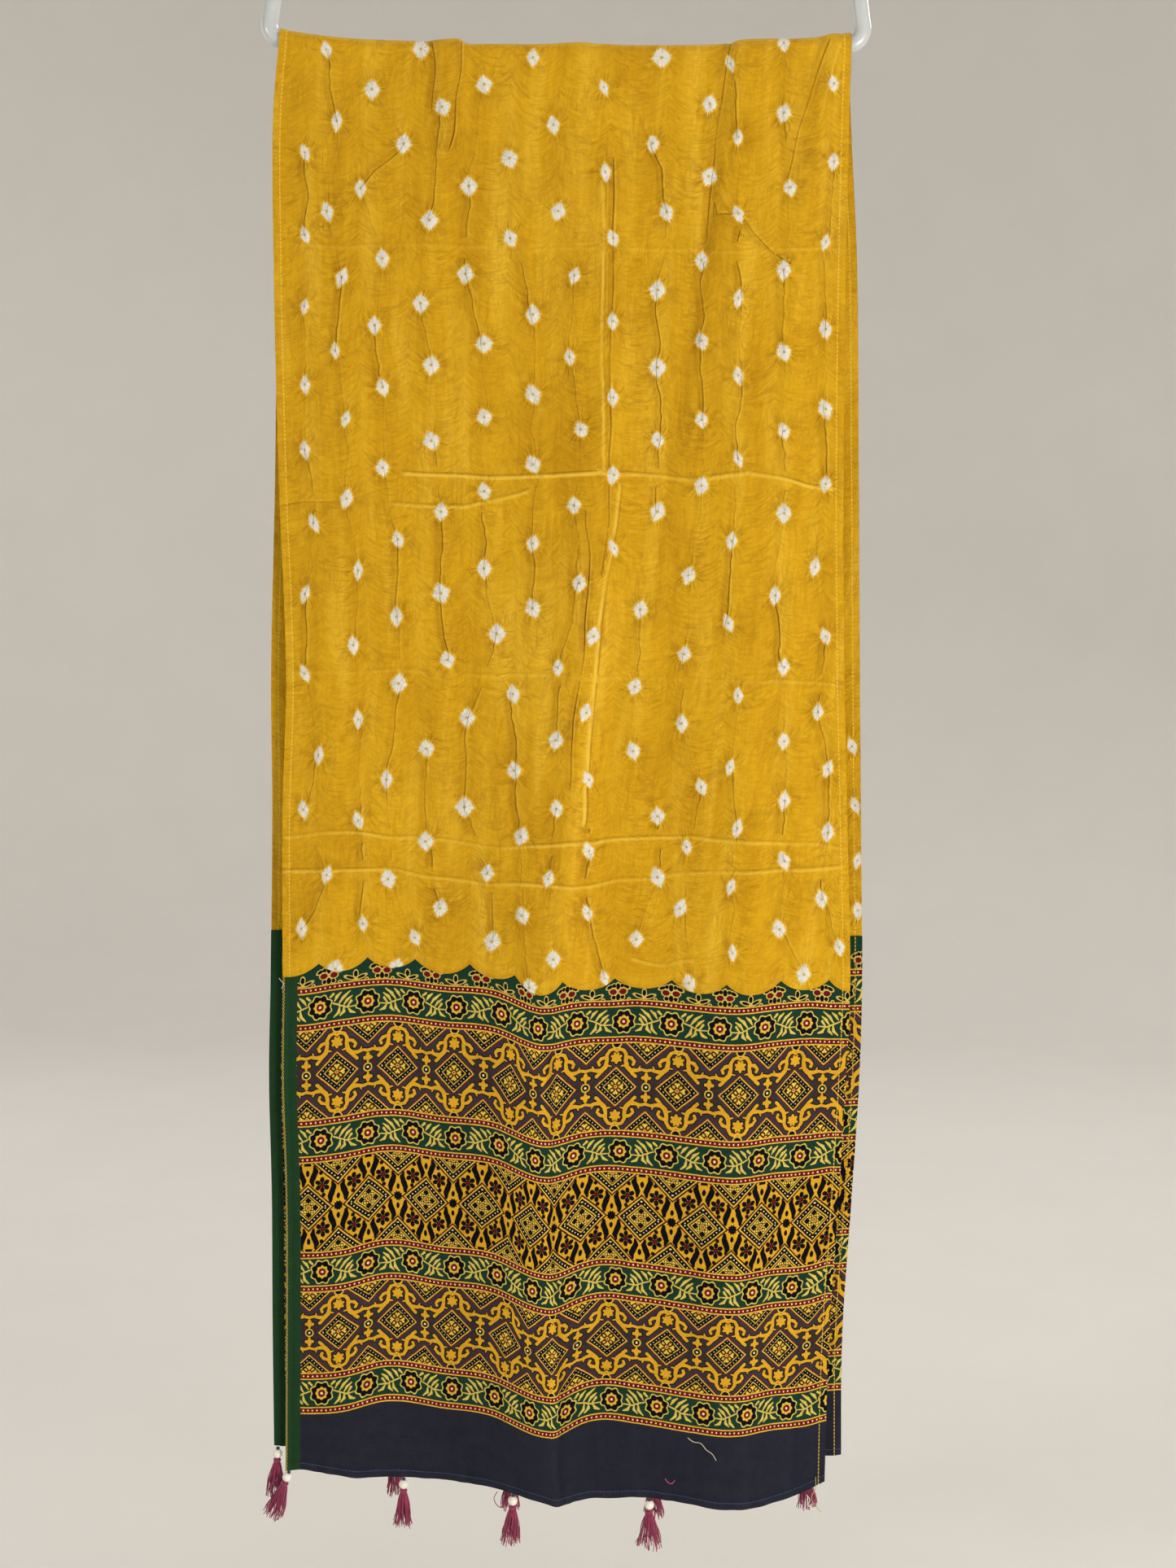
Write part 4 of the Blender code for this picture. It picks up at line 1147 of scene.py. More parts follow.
def place_in_plane(x, y, depth):
    """The place at a given Y that shows at a photo place."""
    turned_x, turned_y = x - PHOTO_WIDTH / 2, y - PHOTO_HEIGHT / 2
    roll_sine, roll_cosine = math.sin(CAMERA_ROLL), math.cos(CAMERA_ROLL)
    right = (turned_x * roll_cosine + turned_y * roll_sine) / FOCAL_PIXELS
    up = (turned_x * roll_sine - turned_y * roll_cosine) / FOCAL_PIXELS
    sine, cosine = math.sin(CAMERA_DOWN), math.cos(CAMERA_DOWN)
    ahead = (depth - CAMERA_PLACE[1]) / (cosine + up * sine)
    return Vector((CAMERA_PLACE[0] + ahead * right, depth, CAMERA_PLACE[2] + ahead * (up * cosine - sine)))


def build_loose_threads():
    """Single loose threads lying on the front, by the sheet that each lies on."""
    made = {"field": [], "print": []}
    surfaces = {on: front_surface(on) for on in made}
    for row in LOOSE_THREADS:
        outer, x, y = surfaces[row.on]
        path = []
        rows = [(float(index), *point) for index, point in enumerate(row.points)]
        Knot = namedtuple("Knot", "index x y")
        knots = [Knot(*values) for values in rows]
        along = np.linspace(0, len(rows) - 1, (len(rows) - 1) * THREAD_STEPS + 1)
        for photo_x, photo_y in zip(smooth_value(knots, "x", along), smooth_value(knots, "y", along)):
            nearest = np.argmin((x - photo_x) ** 2 + (y - photo_y) ** 2)
            depth = float(outer.reshape(-1, 3)[nearest, 1]) - 0.0011
            path.append(place_in_plane(photo_x, photo_y, depth))
        bm = bmesh.new()
        rings = tube_rings(bm, path, [row.radius] * len(path), 6, closed=False)
        bm.faces.new(rings[0])
        bm.faces.new(rings[-1])
        look = Look(f"loose thread {row.name}", 0.8)
        look.start(linear(*row.colour))
        name = f"loose_thread_{row.name}"
        made[row.on].append(add_piece(name, mesh_of(name, bm), look.finish()))
    return made


# Materials: numbers that a material's nodes work out, written as plain sums

class Num:
    """A number worked out by a material's nodes."""

    def __init__(self, socket):
        self.socket = socket

    def __add__(self, other):
        return calc("ADD", self, other)

    def __radd__(self, other):
        return calc("ADD", other, self)

    def __sub__(self, other):
        return calc("SUBTRACT", self, other)

    def __rsub__(self, other):
        return calc("SUBTRACT", other, self)

    def __mul__(self, other):
        return calc("MULTIPLY", self, other)

    def __rmul__(self, other):
        return calc("MULTIPLY", other, self)

    def __truediv__(self, other):
        return calc("DIVIDE", self, other)

    def __neg__(self):
        return calc("MULTIPLY", self, -1.0)

    def __abs__(self):
        return calc("ABSOLUTE", self)


def calc(operation, *inputs, clamp=False):
    """One math node on numbers and fixed values."""
    tree = next(item.socket.id_data for item in inputs if isinstance(item, Num))
    node = tree.nodes.new("ShaderNodeMath")
    node.operation = operation
    node.use_clamp = clamp
    for slot, item in zip(node.inputs, inputs):
        if isinstance(item, Num):
            tree.links.new(item.socket, slot)
        else:
            slot.default_value = item
    return Num(node.outputs[0])


def either(*values):
    """The smallest of some distances: inside any of the shapes."""
    best = values[0]
    for value in values[1:]:
        best = calc("MINIMUM", best, value)
    return best


def both(*values):
    """The largest of some distances: inside all of the shapes."""
    best = values[0]
    for value in values[1:]:
        best = calc("MAXIMUM", best, value)
    return best


def size_of(x, y):
    """Distance from the origin."""
    return calc("SQRT", calc("MULTIPLY_ADD", x, x, y * y))


def disc(x, y, radius):
    """Distance to a disc's edge, negative inside."""
    return size_of(x, y) - radius


def oval(x, y, half_x, half_y):
    """Rough distance to an oval's edge, negative inside."""
    return (size_of(x / half_x, y / half_y) - 1.0) * min(half_x, half_y)


def stroke(x, y, points, radii):
    """Distance to a line through some places, with its half-width at each."""
    parts = []
    for start, end, near, far in zip(points, points[1:], radii, radii[1:]):
        run_x, run_y = end[0] - start[0], end[1] - start[1]
        size = run_x ** 2 + run_y ** 2
        from_x, from_y = x - start[0], y - start[1]
        share = calc("MULTIPLY_ADD", from_x, run_x / size, from_y * (run_y / size), clamp=True)
        off_x = calc("MULTIPLY_ADD", share, -run_x, from_x)
        off_y = calc("MULTIPLY_ADD", share, -run_y, from_y)
        parts.append(size_of(off_x, off_y) - calc("MULTIPLY_ADD", share, far - near, near))
    return either(*parts)


def line(distance, width):
    """A line of some width along the edge that a distance measures."""
    return abs(distance) - width / 2


def ink(distance, soft=0.35):
    """How much ink there is, from 1 inside to 0 outside."""
    return calc("MULTIPLY_ADD", distance, -1.0 / soft, 0.5, clamp=True)


def repeat(value, pitch):
    """Place inside a repeat, from minus half to half a pitch."""
    return calc("FLOORED_MODULO", value + pitch / 2, pitch) - pitch / 2


def turned_places(x, y, degrees):
    """Places turned about the origin."""
    cosine, sine = math.cos(math.radians(degrees)), math.sin(math.radians(degrees))
    return (calc("MULTIPLY_ADD", x, cosine, y * sine), calc("MULTIPLY_ADD", y, cosine, x * -sine))


class Look:
    """A material that is being made: its tree, its principled shader and its colour so far."""

    def __init__(self, name, roughness, sheen=0.0, specular=0.25):
        self.material = bpy.data.materials.new(name)
        self.material.use_nodes = True
        self.tree = self.material.node_tree
        self.shader = self.tree.nodes["Principled BSDF"]
        self.shader.inputs["Roughness"].default_value = roughness
        self.shader.inputs["Specular IOR Level"].default_value = specular
        if sheen:
            self.shader.inputs["Sheen Weight"].default_value = sheen
            self.shader.inputs["Sheen Roughness"].default_value = 0.6
        self.colour = None

    def vector(self, name):
        """A vector kept on the mesh, as its socket and three numbers."""
        node = self.tree.nodes.new("ShaderNodeAttribute")
        node.attribute_name = name
        parts = self.tree.nodes.new("ShaderNodeSeparateXYZ")
        self.tree.links.new(node.outputs["Vector"], parts.inputs[0])
        return node.outputs["Vector"], [Num(socket) for socket in parts.outputs]

    def uv(self, name):
        """The two numbers of a UV map."""
        node = self.tree.nodes.new("ShaderNodeUVMap")
        node.uv_map = name
        parts = self.tree.nodes.new("ShaderNodeSeparateXYZ")
        self.tree.links.new(node.outputs["UV"], parts.inputs[0])
        return node.outputs["UV"], [Num(socket) for socket in parts.outputs][:2]

    def scaled(self, vector, scale):
        """A vector with each part scaled."""
        node = self.tree.nodes.new("ShaderNodeVectorMath")
        node.operation = "MULTIPLY"
        node.inputs[1].default_value = scale
        self.tree.links.new(vector, node.inputs[0])
        return node.outputs[0]

    def noise(self, vector, scale, detail=2.0, roughness=0.5, stretch=(1, 1, 1)):
        """Noise from 0 to 1 at places scaled in all parts."""
        node = self.tree.nodes.new("ShaderNodeTexNoise")
        node.inputs["Scale"].default_value = scale
        node.inputs["Detail"].default_value = detail
        node.inputs["Roughness"].default_value = roughness
        if stretch != (1, 1, 1):
            vector = self.scaled(vector, stretch)
        self.tree.links.new(vector, node.inputs["Vector"])
        return Num(node.outputs["Fac"])

    def start(self, colour):
        """Begin with one colour."""
        node = self.tree.nodes.new("ShaderNodeRGB")
        node.outputs[0].default_value = colour
        self.colour = node.outputs[0]

    def paint(self, share, colour):
        """Lay a colour over what is there, where share says."""
        node = self.tree.nodes.new("ShaderNodeMix")
        node.data_type = "RGBA"
        factor = node.inputs["Factor"] if "Factor" in node.inputs else node.inputs[0]
        self.tree.links.new(share.socket, node.inputs[0])
        self.tree.links.new(self.colour, node.inputs[6])
        if hasattr(colour, "is_linked"):
            self.tree.links.new(colour, node.inputs[7])
        else:
            node.inputs[7].default_value = colour
        self.colour = node.outputs[2]

    def shade(self, share, low, high):
        """Darken and lighten what is there, from low where share is 0 to high where it is 1."""
        amount = calc("MULTIPLY_ADD", share, high - low, low)
        node = self.tree.nodes.new("ShaderNodeVectorMath")
        node.operation = "SCALE"
        self.tree.links.new(self.colour, node.inputs[0])
        self.tree.links.new(amount.socket, node.inputs["Scale"])
        self.colour = node.outputs[0]

    def bump(self, height, distance, strength=1.0):
        """Fine relief from a height."""
        node = self.tree.nodes.new("ShaderNodeBump")
        node.inputs["Strength"].default_value = strength
        node.inputs["Distance"].default_value = distance
        self.tree.links.new(height.socket, node.inputs["Height"])
        self.tree.links.new(node.outputs[0], self.shader.inputs["Normal"])

    def finish(self):
        """Send the colour to the shader."""
        self.tree.links.new(self.colour, self.shader.inputs["Base Color"])
        return self.material


def weave_height(look, place):
    """Fine height of a plain weave with uneven threads and small crinkles."""
    slub_down = look.noise(place, 1.0, 2.0, 0.6, (1.9, 0.10, 0.0))
    slub_across = look.noise(place, 1.0, 2.0, 0.6, (0.10, 1.9, 0.0))
    crinkle = look.noise(place, 0.34, 3.0, 0.65, (0.8, 1.2, 0.0))
    return slub_down + slub_across + crinkle * 2.2


YELLOW = linear(206, 157, 20)
YELLOW_DARK = linear(176, 124, 4)
YELLOW_PALE = linear(222, 176, 44)
DOT_WHITE = linear(222, 218, 204)
# Colour of the painted shade in creases, wrinkles and the rays round the dots
YELLOW_SHADE = linear(124, 78, 2)
YELLOW_LIT = linear(238, 198, 70)
STITCH_GOLD = linear(232, 190, 70)


def wrinkles(look, place, stretch, seed_shift):
    """Valleys of thin wrinkles, from 1 in a valley to 0 beside it, and their soft height."""
    node = look.tree.nodes.new("ShaderNodeVectorMath")
    node.operation = "ADD"
    node.inputs[1].default_value = (seed_shift, seed_shift * 0.7, 0.0)
    look.tree.links.new(place, node.inputs[0])
    wave = look.noise(node.outputs[0], 1.0, 1.3, 0.5, stretch)
    fold = abs(wave - 0.5)
    patch = look.noise(node.outputs[0], 0.028, 2.0, 0.5)
    patch = calc("MULTIPLY_ADD", patch, 3.2, -1.15, clamp=True)
    return calc("MULTIPLY_ADD", fold, -24.0, 1.0, clamp=True) * patch, fold * patch


def spokes_of(look, place, offset):
    """Thin rays that run out from the nearest dot, different for each dot, which carry painted shade and fine
    relief.
    """
    toward = look.tree.nodes.new("ShaderNodeVectorMath")
    toward.operation = "NORMALIZE"
    look.tree.links.new(look.scaled(offset, (1, 1, 0)), toward.inputs[0])
    spokes = look.tree.nodes.new("ShaderNodeVectorMath")
    spokes.operation = "MULTIPLY_ADD"
    spokes.inputs[1].default_value = (0.030, 0.030, 0.0)
    look.tree.links.new(place, spokes.inputs[0])
    look.tree.links.new(look.scaled(toward.outputs[0], (1.7, 1.7, 0)), spokes.inputs[2])
    ray = look.noise(spokes.outputs[0], 1.0, 1.0, 0.5)
    return calc("MULTIPLY_ADD", abs(ray - 0.5), -17.0, 1.0, clamp=True)


def field_look():
    """Mustard cotton with white dots, each with a small yellow centre and puckers round it, with painted shade
    in its creases, wrinkles and hollows and painted highlights on its ridges.
    """
    look = Look("mustard tie-dyed cotton", 0.88, sheen=0.04, specular=0.08)
    place, (across, along, to_side) = look.vector("cloth_mm")
    offset, (off_x, off_y, reach_mm) = look.vector("dot_offset")
    lines, (beside, strength, relief_shade) = look.vector("crease_lines")
    look.start(YELLOW)
    broad = look.noise(place, 0.016, 3.0, 0.6)
    look.paint(calc("MULTIPLY_ADD", broad, 2.4, -0.95, clamp=True) * 0.55, YELLOW_DARK)
    # Painted light and shade: pale and dark vertical bands at random places, standing for the lit and shaded
    # sides of broad soft folds
    bands = look.noise(place, 0.05, 2.0, 0.5, (1.0, 0.12, 0.0))
    look.paint(calc("MULTIPLY_ADD", bands, 4.0, -2.0, clamp=True) * 0.8, YELLOW_PALE)
    look.paint(calc("MULTIPLY_ADD", bands, -5.0, 2.1, clamp=True) * 0.5, YELLOW_DARK)
    mottled = look.noise(place, 0.30, 4.0, 0.7, (1.0, 1.3, 0.0))
    look.shade(mottled, 0.84, 1.16)
    threads = look.noise(place, 1.0, 1.0, 0.5, (2.2, 0.12, 0.0)) + look.noise(
        place, 1.0, 1.0, 0.5, (0.12, 2.2, 0.0))
    look.shade(threads, 0.84, 1.02)
    look.shade(look.noise(place, 1.0, 2.0, 0.6, (0.09, 0.50, 0.0)), 0.80, 1.20)
    look.shade(look.noise(place, 1.0, 2.0, 0.6, (0.45, 0.05, 0.0)), 0.90, 1.10)
    across_valley, across_fold = wrinkles(look, place, (0.040, 0.17, 0.0), 0.0)
    down_valley, down_fold = wrinkles(look, place, (0.15, 0.026, 0.0), 53.0)
    slant_valley, slant_fold = wrinkles(look, look.scaled(place, (1, 1, 0)), (0.085, 0.11, 0.0), 117.0)
    ray = spokes_of(look, place, offset)
    near = calc("MULTIPLY_ADD", reach_mm, -0.12, 2.0, clamp=True)
    rays = ray * near * calc("MULTIPLY_ADD", reach_mm, 0.4, -1.6, clamp=True)
    dark_side = calc("MAXIMUM", strength, 0.0)
    bright_side = calc("MAXIMUM", -strength, 0.0)
    crease = calc("MULTIPLY_ADD", abs(beside), -1.5, 1.0, clamp=True) * dark_side
    lit = calc("MULTIPLY_ADD", abs(beside - 1.5), -0.9, 1.0, clamp=True) * dark_side
    crest = calc("MULTIPLY_ADD", abs(beside), -0.55, 1.0, clamp=True) * bright_side
    under = calc("MULTIPLY_ADD", abs(beside - 2.3), -0.9, 1.0, clamp=True) * bright_side
    # Painted light and shade from the relief: high spots lighter, hollows darker
    look.paint(calc("MULTIPLY_ADD", relief_shade, 1.5, -0.12, clamp=True) * 0.5, YELLOW_PALE)
    look.paint(calc("MULTIPLY_ADD", relief_shade, -1.2, -0.12, clamp=True) * 0.4, YELLOW_DARK)
    # Painted shade in the valleys of the wrinkles
    look.paint(both(across_valley, down_valley * 0.8, slant_valley * 0.7) * 0.36, YELLOW_SHADE)
    # Painted shade: a soft dark band along one side of each dark crease
    shade_left = calc("MULTIPLY_ADD", abs(beside + 3.6), -0.24, 1.0, clamp=True) * dark_side
    look.paint(shade_left * 0.42, YELLOW_SHADE)
    # Painted highlights: beside each dark crease on its lit side, and along each ridge
    look.paint(both(lit * 0.35, crest * 0.8), YELLOW_LIT)
    # Painted shade in the rays round each dot and just below each ridge
    look.paint(both(rays * 0.22, under * 0.6), YELLOW_SHADE)
    # Painted shade: a dark line along each crease's valley
    look.paint(crease * 0.72, linear(124, 74, 2))
    stitch = both(abs(to_side - 5.4) - 0.45, abs(repeat(along, 3.0)) - 1.05)
    look.paint(ink(stitch) * 0.75, STITCH_GOLD)
    wobble = look.noise(place, 0.55, 2.0, 0.7) - 0.5
    norm_x, norm_y = off_x / 5.7, off_y / 7.1
    round_part = size_of(norm_x, norm_y) * 0.42
    rhomb_part = (abs(norm_x) + abs(norm_y)) * 0.50
    gate = calc("MULTIPLY_ADD", reach_mm, 0.5, -4.6, clamp=True)
    reach = round_part + rhomb_part + wobble * 0.75 + gate * 3.0
    look.paint(calc("MULTIPLY_ADD", reach, -5.0, 5.9, clamp=True) * 0.9, YELLOW_PALE)
    white = calc("MULTIPLY_ADD", reach, -7.0, 6.6, clamp=True)
    look.paint(white, DOT_WHITE)
    # Painted shade of the radial creases across the white dots
    look.paint(ray * white * 0.45, linear(168, 160, 148))
    heart = calc("MULTIPLY_ADD", size_of(off_x, off_y), -1.2, 1.75, clamp=True) * white
    look.paint(heart * 0.85, linear(190, 146, 48))
    folds = across_fold * 5.0 + down_fold * 5.0 + slant_fold * 5.0
    height = weave_height(look, place) + folds - rays * 1.4 - crease * 2.4 + crest * 1.5
    look.bump(height, 0.00042, 0.9)
    return look.finish()


def print_look(name, ground):
    """Start a printed cotton, with coordinates that waver a little as hand printing does."""
    look = Look(name, 0.9, specular=0.05)
    place, look.parts = look.vector("cloth_mm")
    uv, (u, q) = look.uv("band")
    drift = look.noise(place, 0.25, 2.0, 0.6)
    drift_more = look.noise(place, 0.23, 2.0, 0.6, (1, 1.3, 1))
    u = calc("MULTIPLY_ADD", drift - 0.5, 0.9, u)
    q = calc("MULTIPLY_ADD", drift_more - 0.5, 0.9, q)
    look.start(ground)
    look.place = place
    return look, u, q


PRINT_YELLOW = linear(204, 166, 60)
PRINT_PALE = linear(200, 176, 84)
PRINT_GOLD = linear(200, 150, 36)
PRINT_GREEN = linear(24, 52, 38)
PRINT_SELVEDGE = linear(30, 58, 34)
PRINT_MAROON = linear(100, 16, 24)
PRINT_INK = linear(12, 12, 18)
PRINT_SLATE = linear(56, 46, 50)
PRINT_NAVY = linear(34, 35, 45)
PRINT_CREAM = linear(226, 206, 150)
PRINT_OLIVE = linear(212, 178, 68)
NAVY_STITCH = linear(64, 76, 108)
GREEN_MARGIN = 11.4


def finish_print(look):
    """Uneven ink, fine threads, painted light and shade from the relief, the green margin and the hems over a
    printed pattern.
    """
    edge, (from_left, from_right, to_hem) = look.vector("edge_mm")
    across, down, relief_shade = look.parts
    waver = look.noise(look.place, 0.12, 2.0, 0.6, (0.0, 1.0, 0.0)) - 0.5
    look.paint(ink(from_left - GREEN_MARGIN + waver * 1.6), PRINT_SELVEDGE)
    zigzag = abs(from_left - 0.5 - abs(repeat(down + waver * 3.0, 2.6)) * 0.7) - 0.22
    look.paint(ink(zigzag) * 0.65, STITCH_GOLD)
    look.paint(ink(from_left - 0.3) * 0.35, PRINT_CREAM)
    stitch = both(abs(from_right - 5.4) - 0.32, abs(repeat(down, 2.9)) - 1.0)
    look.paint(ink(stitch) * 0.85, STITCH_GOLD)
    worn = look.noise(look.place, 0.9, 3.0, 0.7)
    look.shade(worn, 0.72, 1.30)
    threads = look.noise(look.place, 1.0, 1.0, 0.5, (2.4, 0.14, 0.0)) + look.noise(
        look.place, 1.0, 1.0, 0.5, (0.14, 2.4, 0.0))
    look.shade(threads, 0.74, 1.06)
    # Painted light and shade from the relief: hollows darker, high spots lighter
    look.shade(calc("MULTIPLY_ADD", relief_shade, 0.9, 0.5, clamp=True), 0.78, 1.24)
    valley, fold = wrinkles(look, look.place, (0.10, 0.14, 0.0), 31.0)
    look.bump(weave_height(look, look.place) + fold * 7.0, 0.00036, 0.8)
    return look.finish()


def bead_look():
    """Dotted line: two yellow lines with cream dots on maroon between them."""
    look, u, q = print_look("print dotted line", PRINT_GREEN)
    look.paint(ink(abs(q) - 2.0), PRINT_MAROON)
    look.paint(ink(abs(abs(q) - 2.35) - 0.5), PRINT_YELLOW)
    look.paint(ink(disc(repeat(u, 3.7), q, 0.66)), PRINT_CREAM)
    return finish_print(look)


FERN_STEM = [(-8.8, 1.8), (-2.8, -0.5), (1.9, -2.5), (9.0, -2.2)]
FERN_LEAVES = [
    [(-12.0, 5.2), (-8.1, 8.5)],
    [(-7.4, 3.1), (-5.4, 6.4), (-2.4, 8.9)],
    [(-3.8, 0.8), (-0.4, 5.4), (4.6, 9.2)],
    [(0.0, -0.5), (2.4, 2.9), (6.0, 5.5)],
    [(2.6, -2.2), (5.6, 1.8)],
    [(-3.1, -0.9), (-3.8, -5.6), (-7.4, -8.9)],
    [(0.0, -2.2), (0.0, -5.6), (-2.8, -8.2)],
    [(3.3, -3.2), (5.3, -6.2), (8.7, -7.6)],
]


def border_look():
    """Eight-petalled flowers with ferns between them on green."""
    look, u, q = print_look("print flower border", PRINT_GREEN)
    x = repeat(u, FLOWER_PITCH)
    angle = calc("ARCTAN2", q, x)
    lobes = calc("COSINE", angle * 8.0)
    reach = size_of(x, q)
    gap_number = calc("FLOOR", u / FLOWER_PITCH)
    flip = calc("MULTIPLY_ADD", calc("FLOORED_MODULO", gap_number, 2.0), -2.0, 1.0)
    fern_x = (u - (gap_number + 0.5) * FLOWER_PITCH) * flip
    up = -q
    leaves = [stroke(fern_x, up, leaf, (0.4, 1.15, 0.45) if len(leaf) == 3 else (0.5, 0.95))
              for leaf in FERN_LEAVES]
    fern = either(stroke(fern_x, up, FERN_STEM, (0.5, 0.55, 0.55, 0.4)), *leaves)
    look.paint(ink(both(fern, 9.6 - reach)), PRINT_PALE)
    look.paint(ink(reach - 9.1 + lobes * 0.75), PRINT_GREEN)
    look.paint(ink(line(reach - 8.75 + lobes * 0.75, 1.0)), PRINT_PALE)
    fold = calc("FLOORED_MODULO", angle, math.pi / 4) - math.pi / 8
    petal_x = reach * calc("COSINE", fold) - 6.3
    petal_y = reach * calc("SINE", fold)
    look.paint(ink(either(disc(petal_x, petal_y, 2.35), reach - 7.0)), PRINT_INK)
    look.paint(ink(reach - 4.7 - lobes * 0.45), PRINT_YELLOW)
    look.paint(ink(reach - 2.9), PRINT_MAROON)
    look.paint(ink(reach - 1.0), PRINT_CREAM)
    return finish_print(look)


def diamond_places(u, q, pitch, height, half_x, half_y):
    """Folded places for full diamonds on the mid-line and half ones on the borders."""
    x = abs(repeat(u, pitch))
    y = abs(q)
    far_x, far_y = pitch / 2 - x, height / 2 - y
    near = x / half_x + y / half_y
    other = far_x / half_x + far_y / half_y
    pick = calc("LESS_THAN", other, near)
    local_x = calc("MULTIPLY_ADD", pick, far_x - x, x)
    local_y = calc("MULTIPLY_ADD", pick, far_y - y, y)
    square = 1 / math.sqrt(1 / half_x ** 2 + 1 / half_y ** 2)
    edge = (either(near, other) - 1.0) * square
    return x, y, far_x, local_x, local_y, edge


VINE = [(0.0, 27.9), (2.6, 29.6), (5.6, 28.4), (7.6, 25.0), (7.5, 20.0), (8.6, 15.6), (11.8, 12.6),
        (16.0, 12.9), (20.0, 13.8), (23.8, 12.8)]
VINE_WIDTHS = (1.1, 1.2, 1.25, 1.35, 1.5, 1.7, 1.8, 1.4, 1.1, 1.1)
VINE_CURLS = [
    ([(8.0, 17.0), (4.0, 16.2)], (1.1, 0.4)),
    ([(8.6, 23.2), (12.0, 22.2), (14.4, 19.6), (13.4, 17.6)], (1.2, 1.3, 1.0, 1.2)),
    ([(12.6, 10.8), (15.4, 8.2)], (1.2, 1.3)),
    ([(17.8, 13.6), (18.8, 16.4)], (1.0, 0.4)),
]
GOLD_STEMS_LOW = ([(6.0, 4.2), (6.1, 8.0), (4.6, 11.5), (3.4, 14.9), (4.6, 18.6)],
                  (1.4, 2.3, 2.4, 2.1, 0.9))
GOLD_STEMS_HIGH = ([(5.2, 31.5), (6.3, 27.8), (4.4, 23.5), (3.2, 20.8), (3.9, 16.9)],
                   (0.9, 2.3, 2.3, 2.1, 1.0))
SLATE_START = 13.6
GOLD_START = -11.0


def slate_look(height):
    """Dark band of yellow-lined diamonds, rings, buds and vines."""
    look, u, q = print_look("print slate diamonds", PRINT_SLATE)
    u = u - SLATE_START
    x, y, ring_x, local_x, local_y, edge = diamond_places(u, q, DIAMOND_PITCH, height, 16.5, 15.5)
    ring = size_of(ring_x, y)
    look.paint(calc("MULTIPLY_ADD", ring, -0.10, 1.5, clamp=True) * 0.8, linear(30, 44, 38))
    flecks = disc(ring_x - 4.4, y - 3.8, 1.2)
    look.paint(ink(flecks, 1.6) * 0.7, PRINT_MAROON)
    vines = either(stroke(x, y, VINE, VINE_WIDTHS), *[stroke(x, y, *curl) for curl in VINE_CURLS])
    leaf_y = y - 23.2
    leaf_angle = calc("ARCTAN2", x, -leaf_y)
    leaf = size_of(x, leaf_y) - 4.0 - calc("COSINE", leaf_angle * 7.0) * 0.8
    leaf = leaf - calc("COSINE", leaf_angle) * 0.6
    bud = either(oval(ring_x, y - 8.0, 1.7, 3.6), oval(ring_x - 2.3, y - 7.3, 1.5, 1.3),
                 oval(ring_x, y - 4.9, 0.8, 1.6))
    half_ring = disc(x, y - height / 2, 3.4)
    stems = either(vines, bud)
    look.paint(ink(stems - 0.75), PRINT_INK)
    look.paint(ink(stems), PRINT_GOLD)
    look.paint(ink(leaf - 1.0), PRINT_INK)
    look.paint(ink(leaf), PRINT_GOLD)
    look.paint(ink(half_ring), PRINT_INK)
    look.paint(ink(line(half_ring, 1.0)), PRINT_YELLOW)
    look.paint(ink(ring - 3.5), PRINT_YELLOW)
    look.paint(ink(ring - 2.5), PRINT_INK)
    look.paint(ink(ring - 0.9), PRINT_CREAM)
    look.paint(ink(edge - 0.8), PRINT_MAROON)
    look.paint(ink(edge), PRINT_YELLOW)
    look.paint(ink(edge + 0.9), PRINT_INK)
    along = (local_x - local_y) * 0.7071
    square = both(abs(edge + 2.5) - 0.36, abs(repeat(along, 2.9)) - 0.36)
    look.paint(ink(square, 0.25), PRINT_CREAM)
    look.paint(ink(edge + 4.3), PRINT_YELLOW)
    look.paint(ink(edge + 5.0), PRINT_INK)
    look.paint(ink(edge + 6.1), PRINT_OLIVE)
    slant_x = (local_x + local_y) * 0.7071
    slant_y = (local_x - local_y) * 0.7071
    drops = oval(slant_x - 3.9, slant_y, 2.1, 1.35)
    look.paint(ink(drops - 0.6), PRINT_INK)
    look.paint(ink(drops + 0.5), PRINT_YELLOW)
    long_way = calc("MAXIMUM", local_x, local_y)
    short_way = calc("MINIMUM", local_x, local_y)
    tip = abs(long_way - 6.6) + short_way
    look.paint(ink(tip - 1.3), PRINT_INK)
    heart = size_of(local_x, local_y)
    look.paint(ink(heart - 2.3), PRINT_MAROON)
    look.paint(ink(heart - 1.4), PRINT_YELLOW)
    look.paint(ink(heart - 0.6), PRINT_INK)
    return finish_print(look)


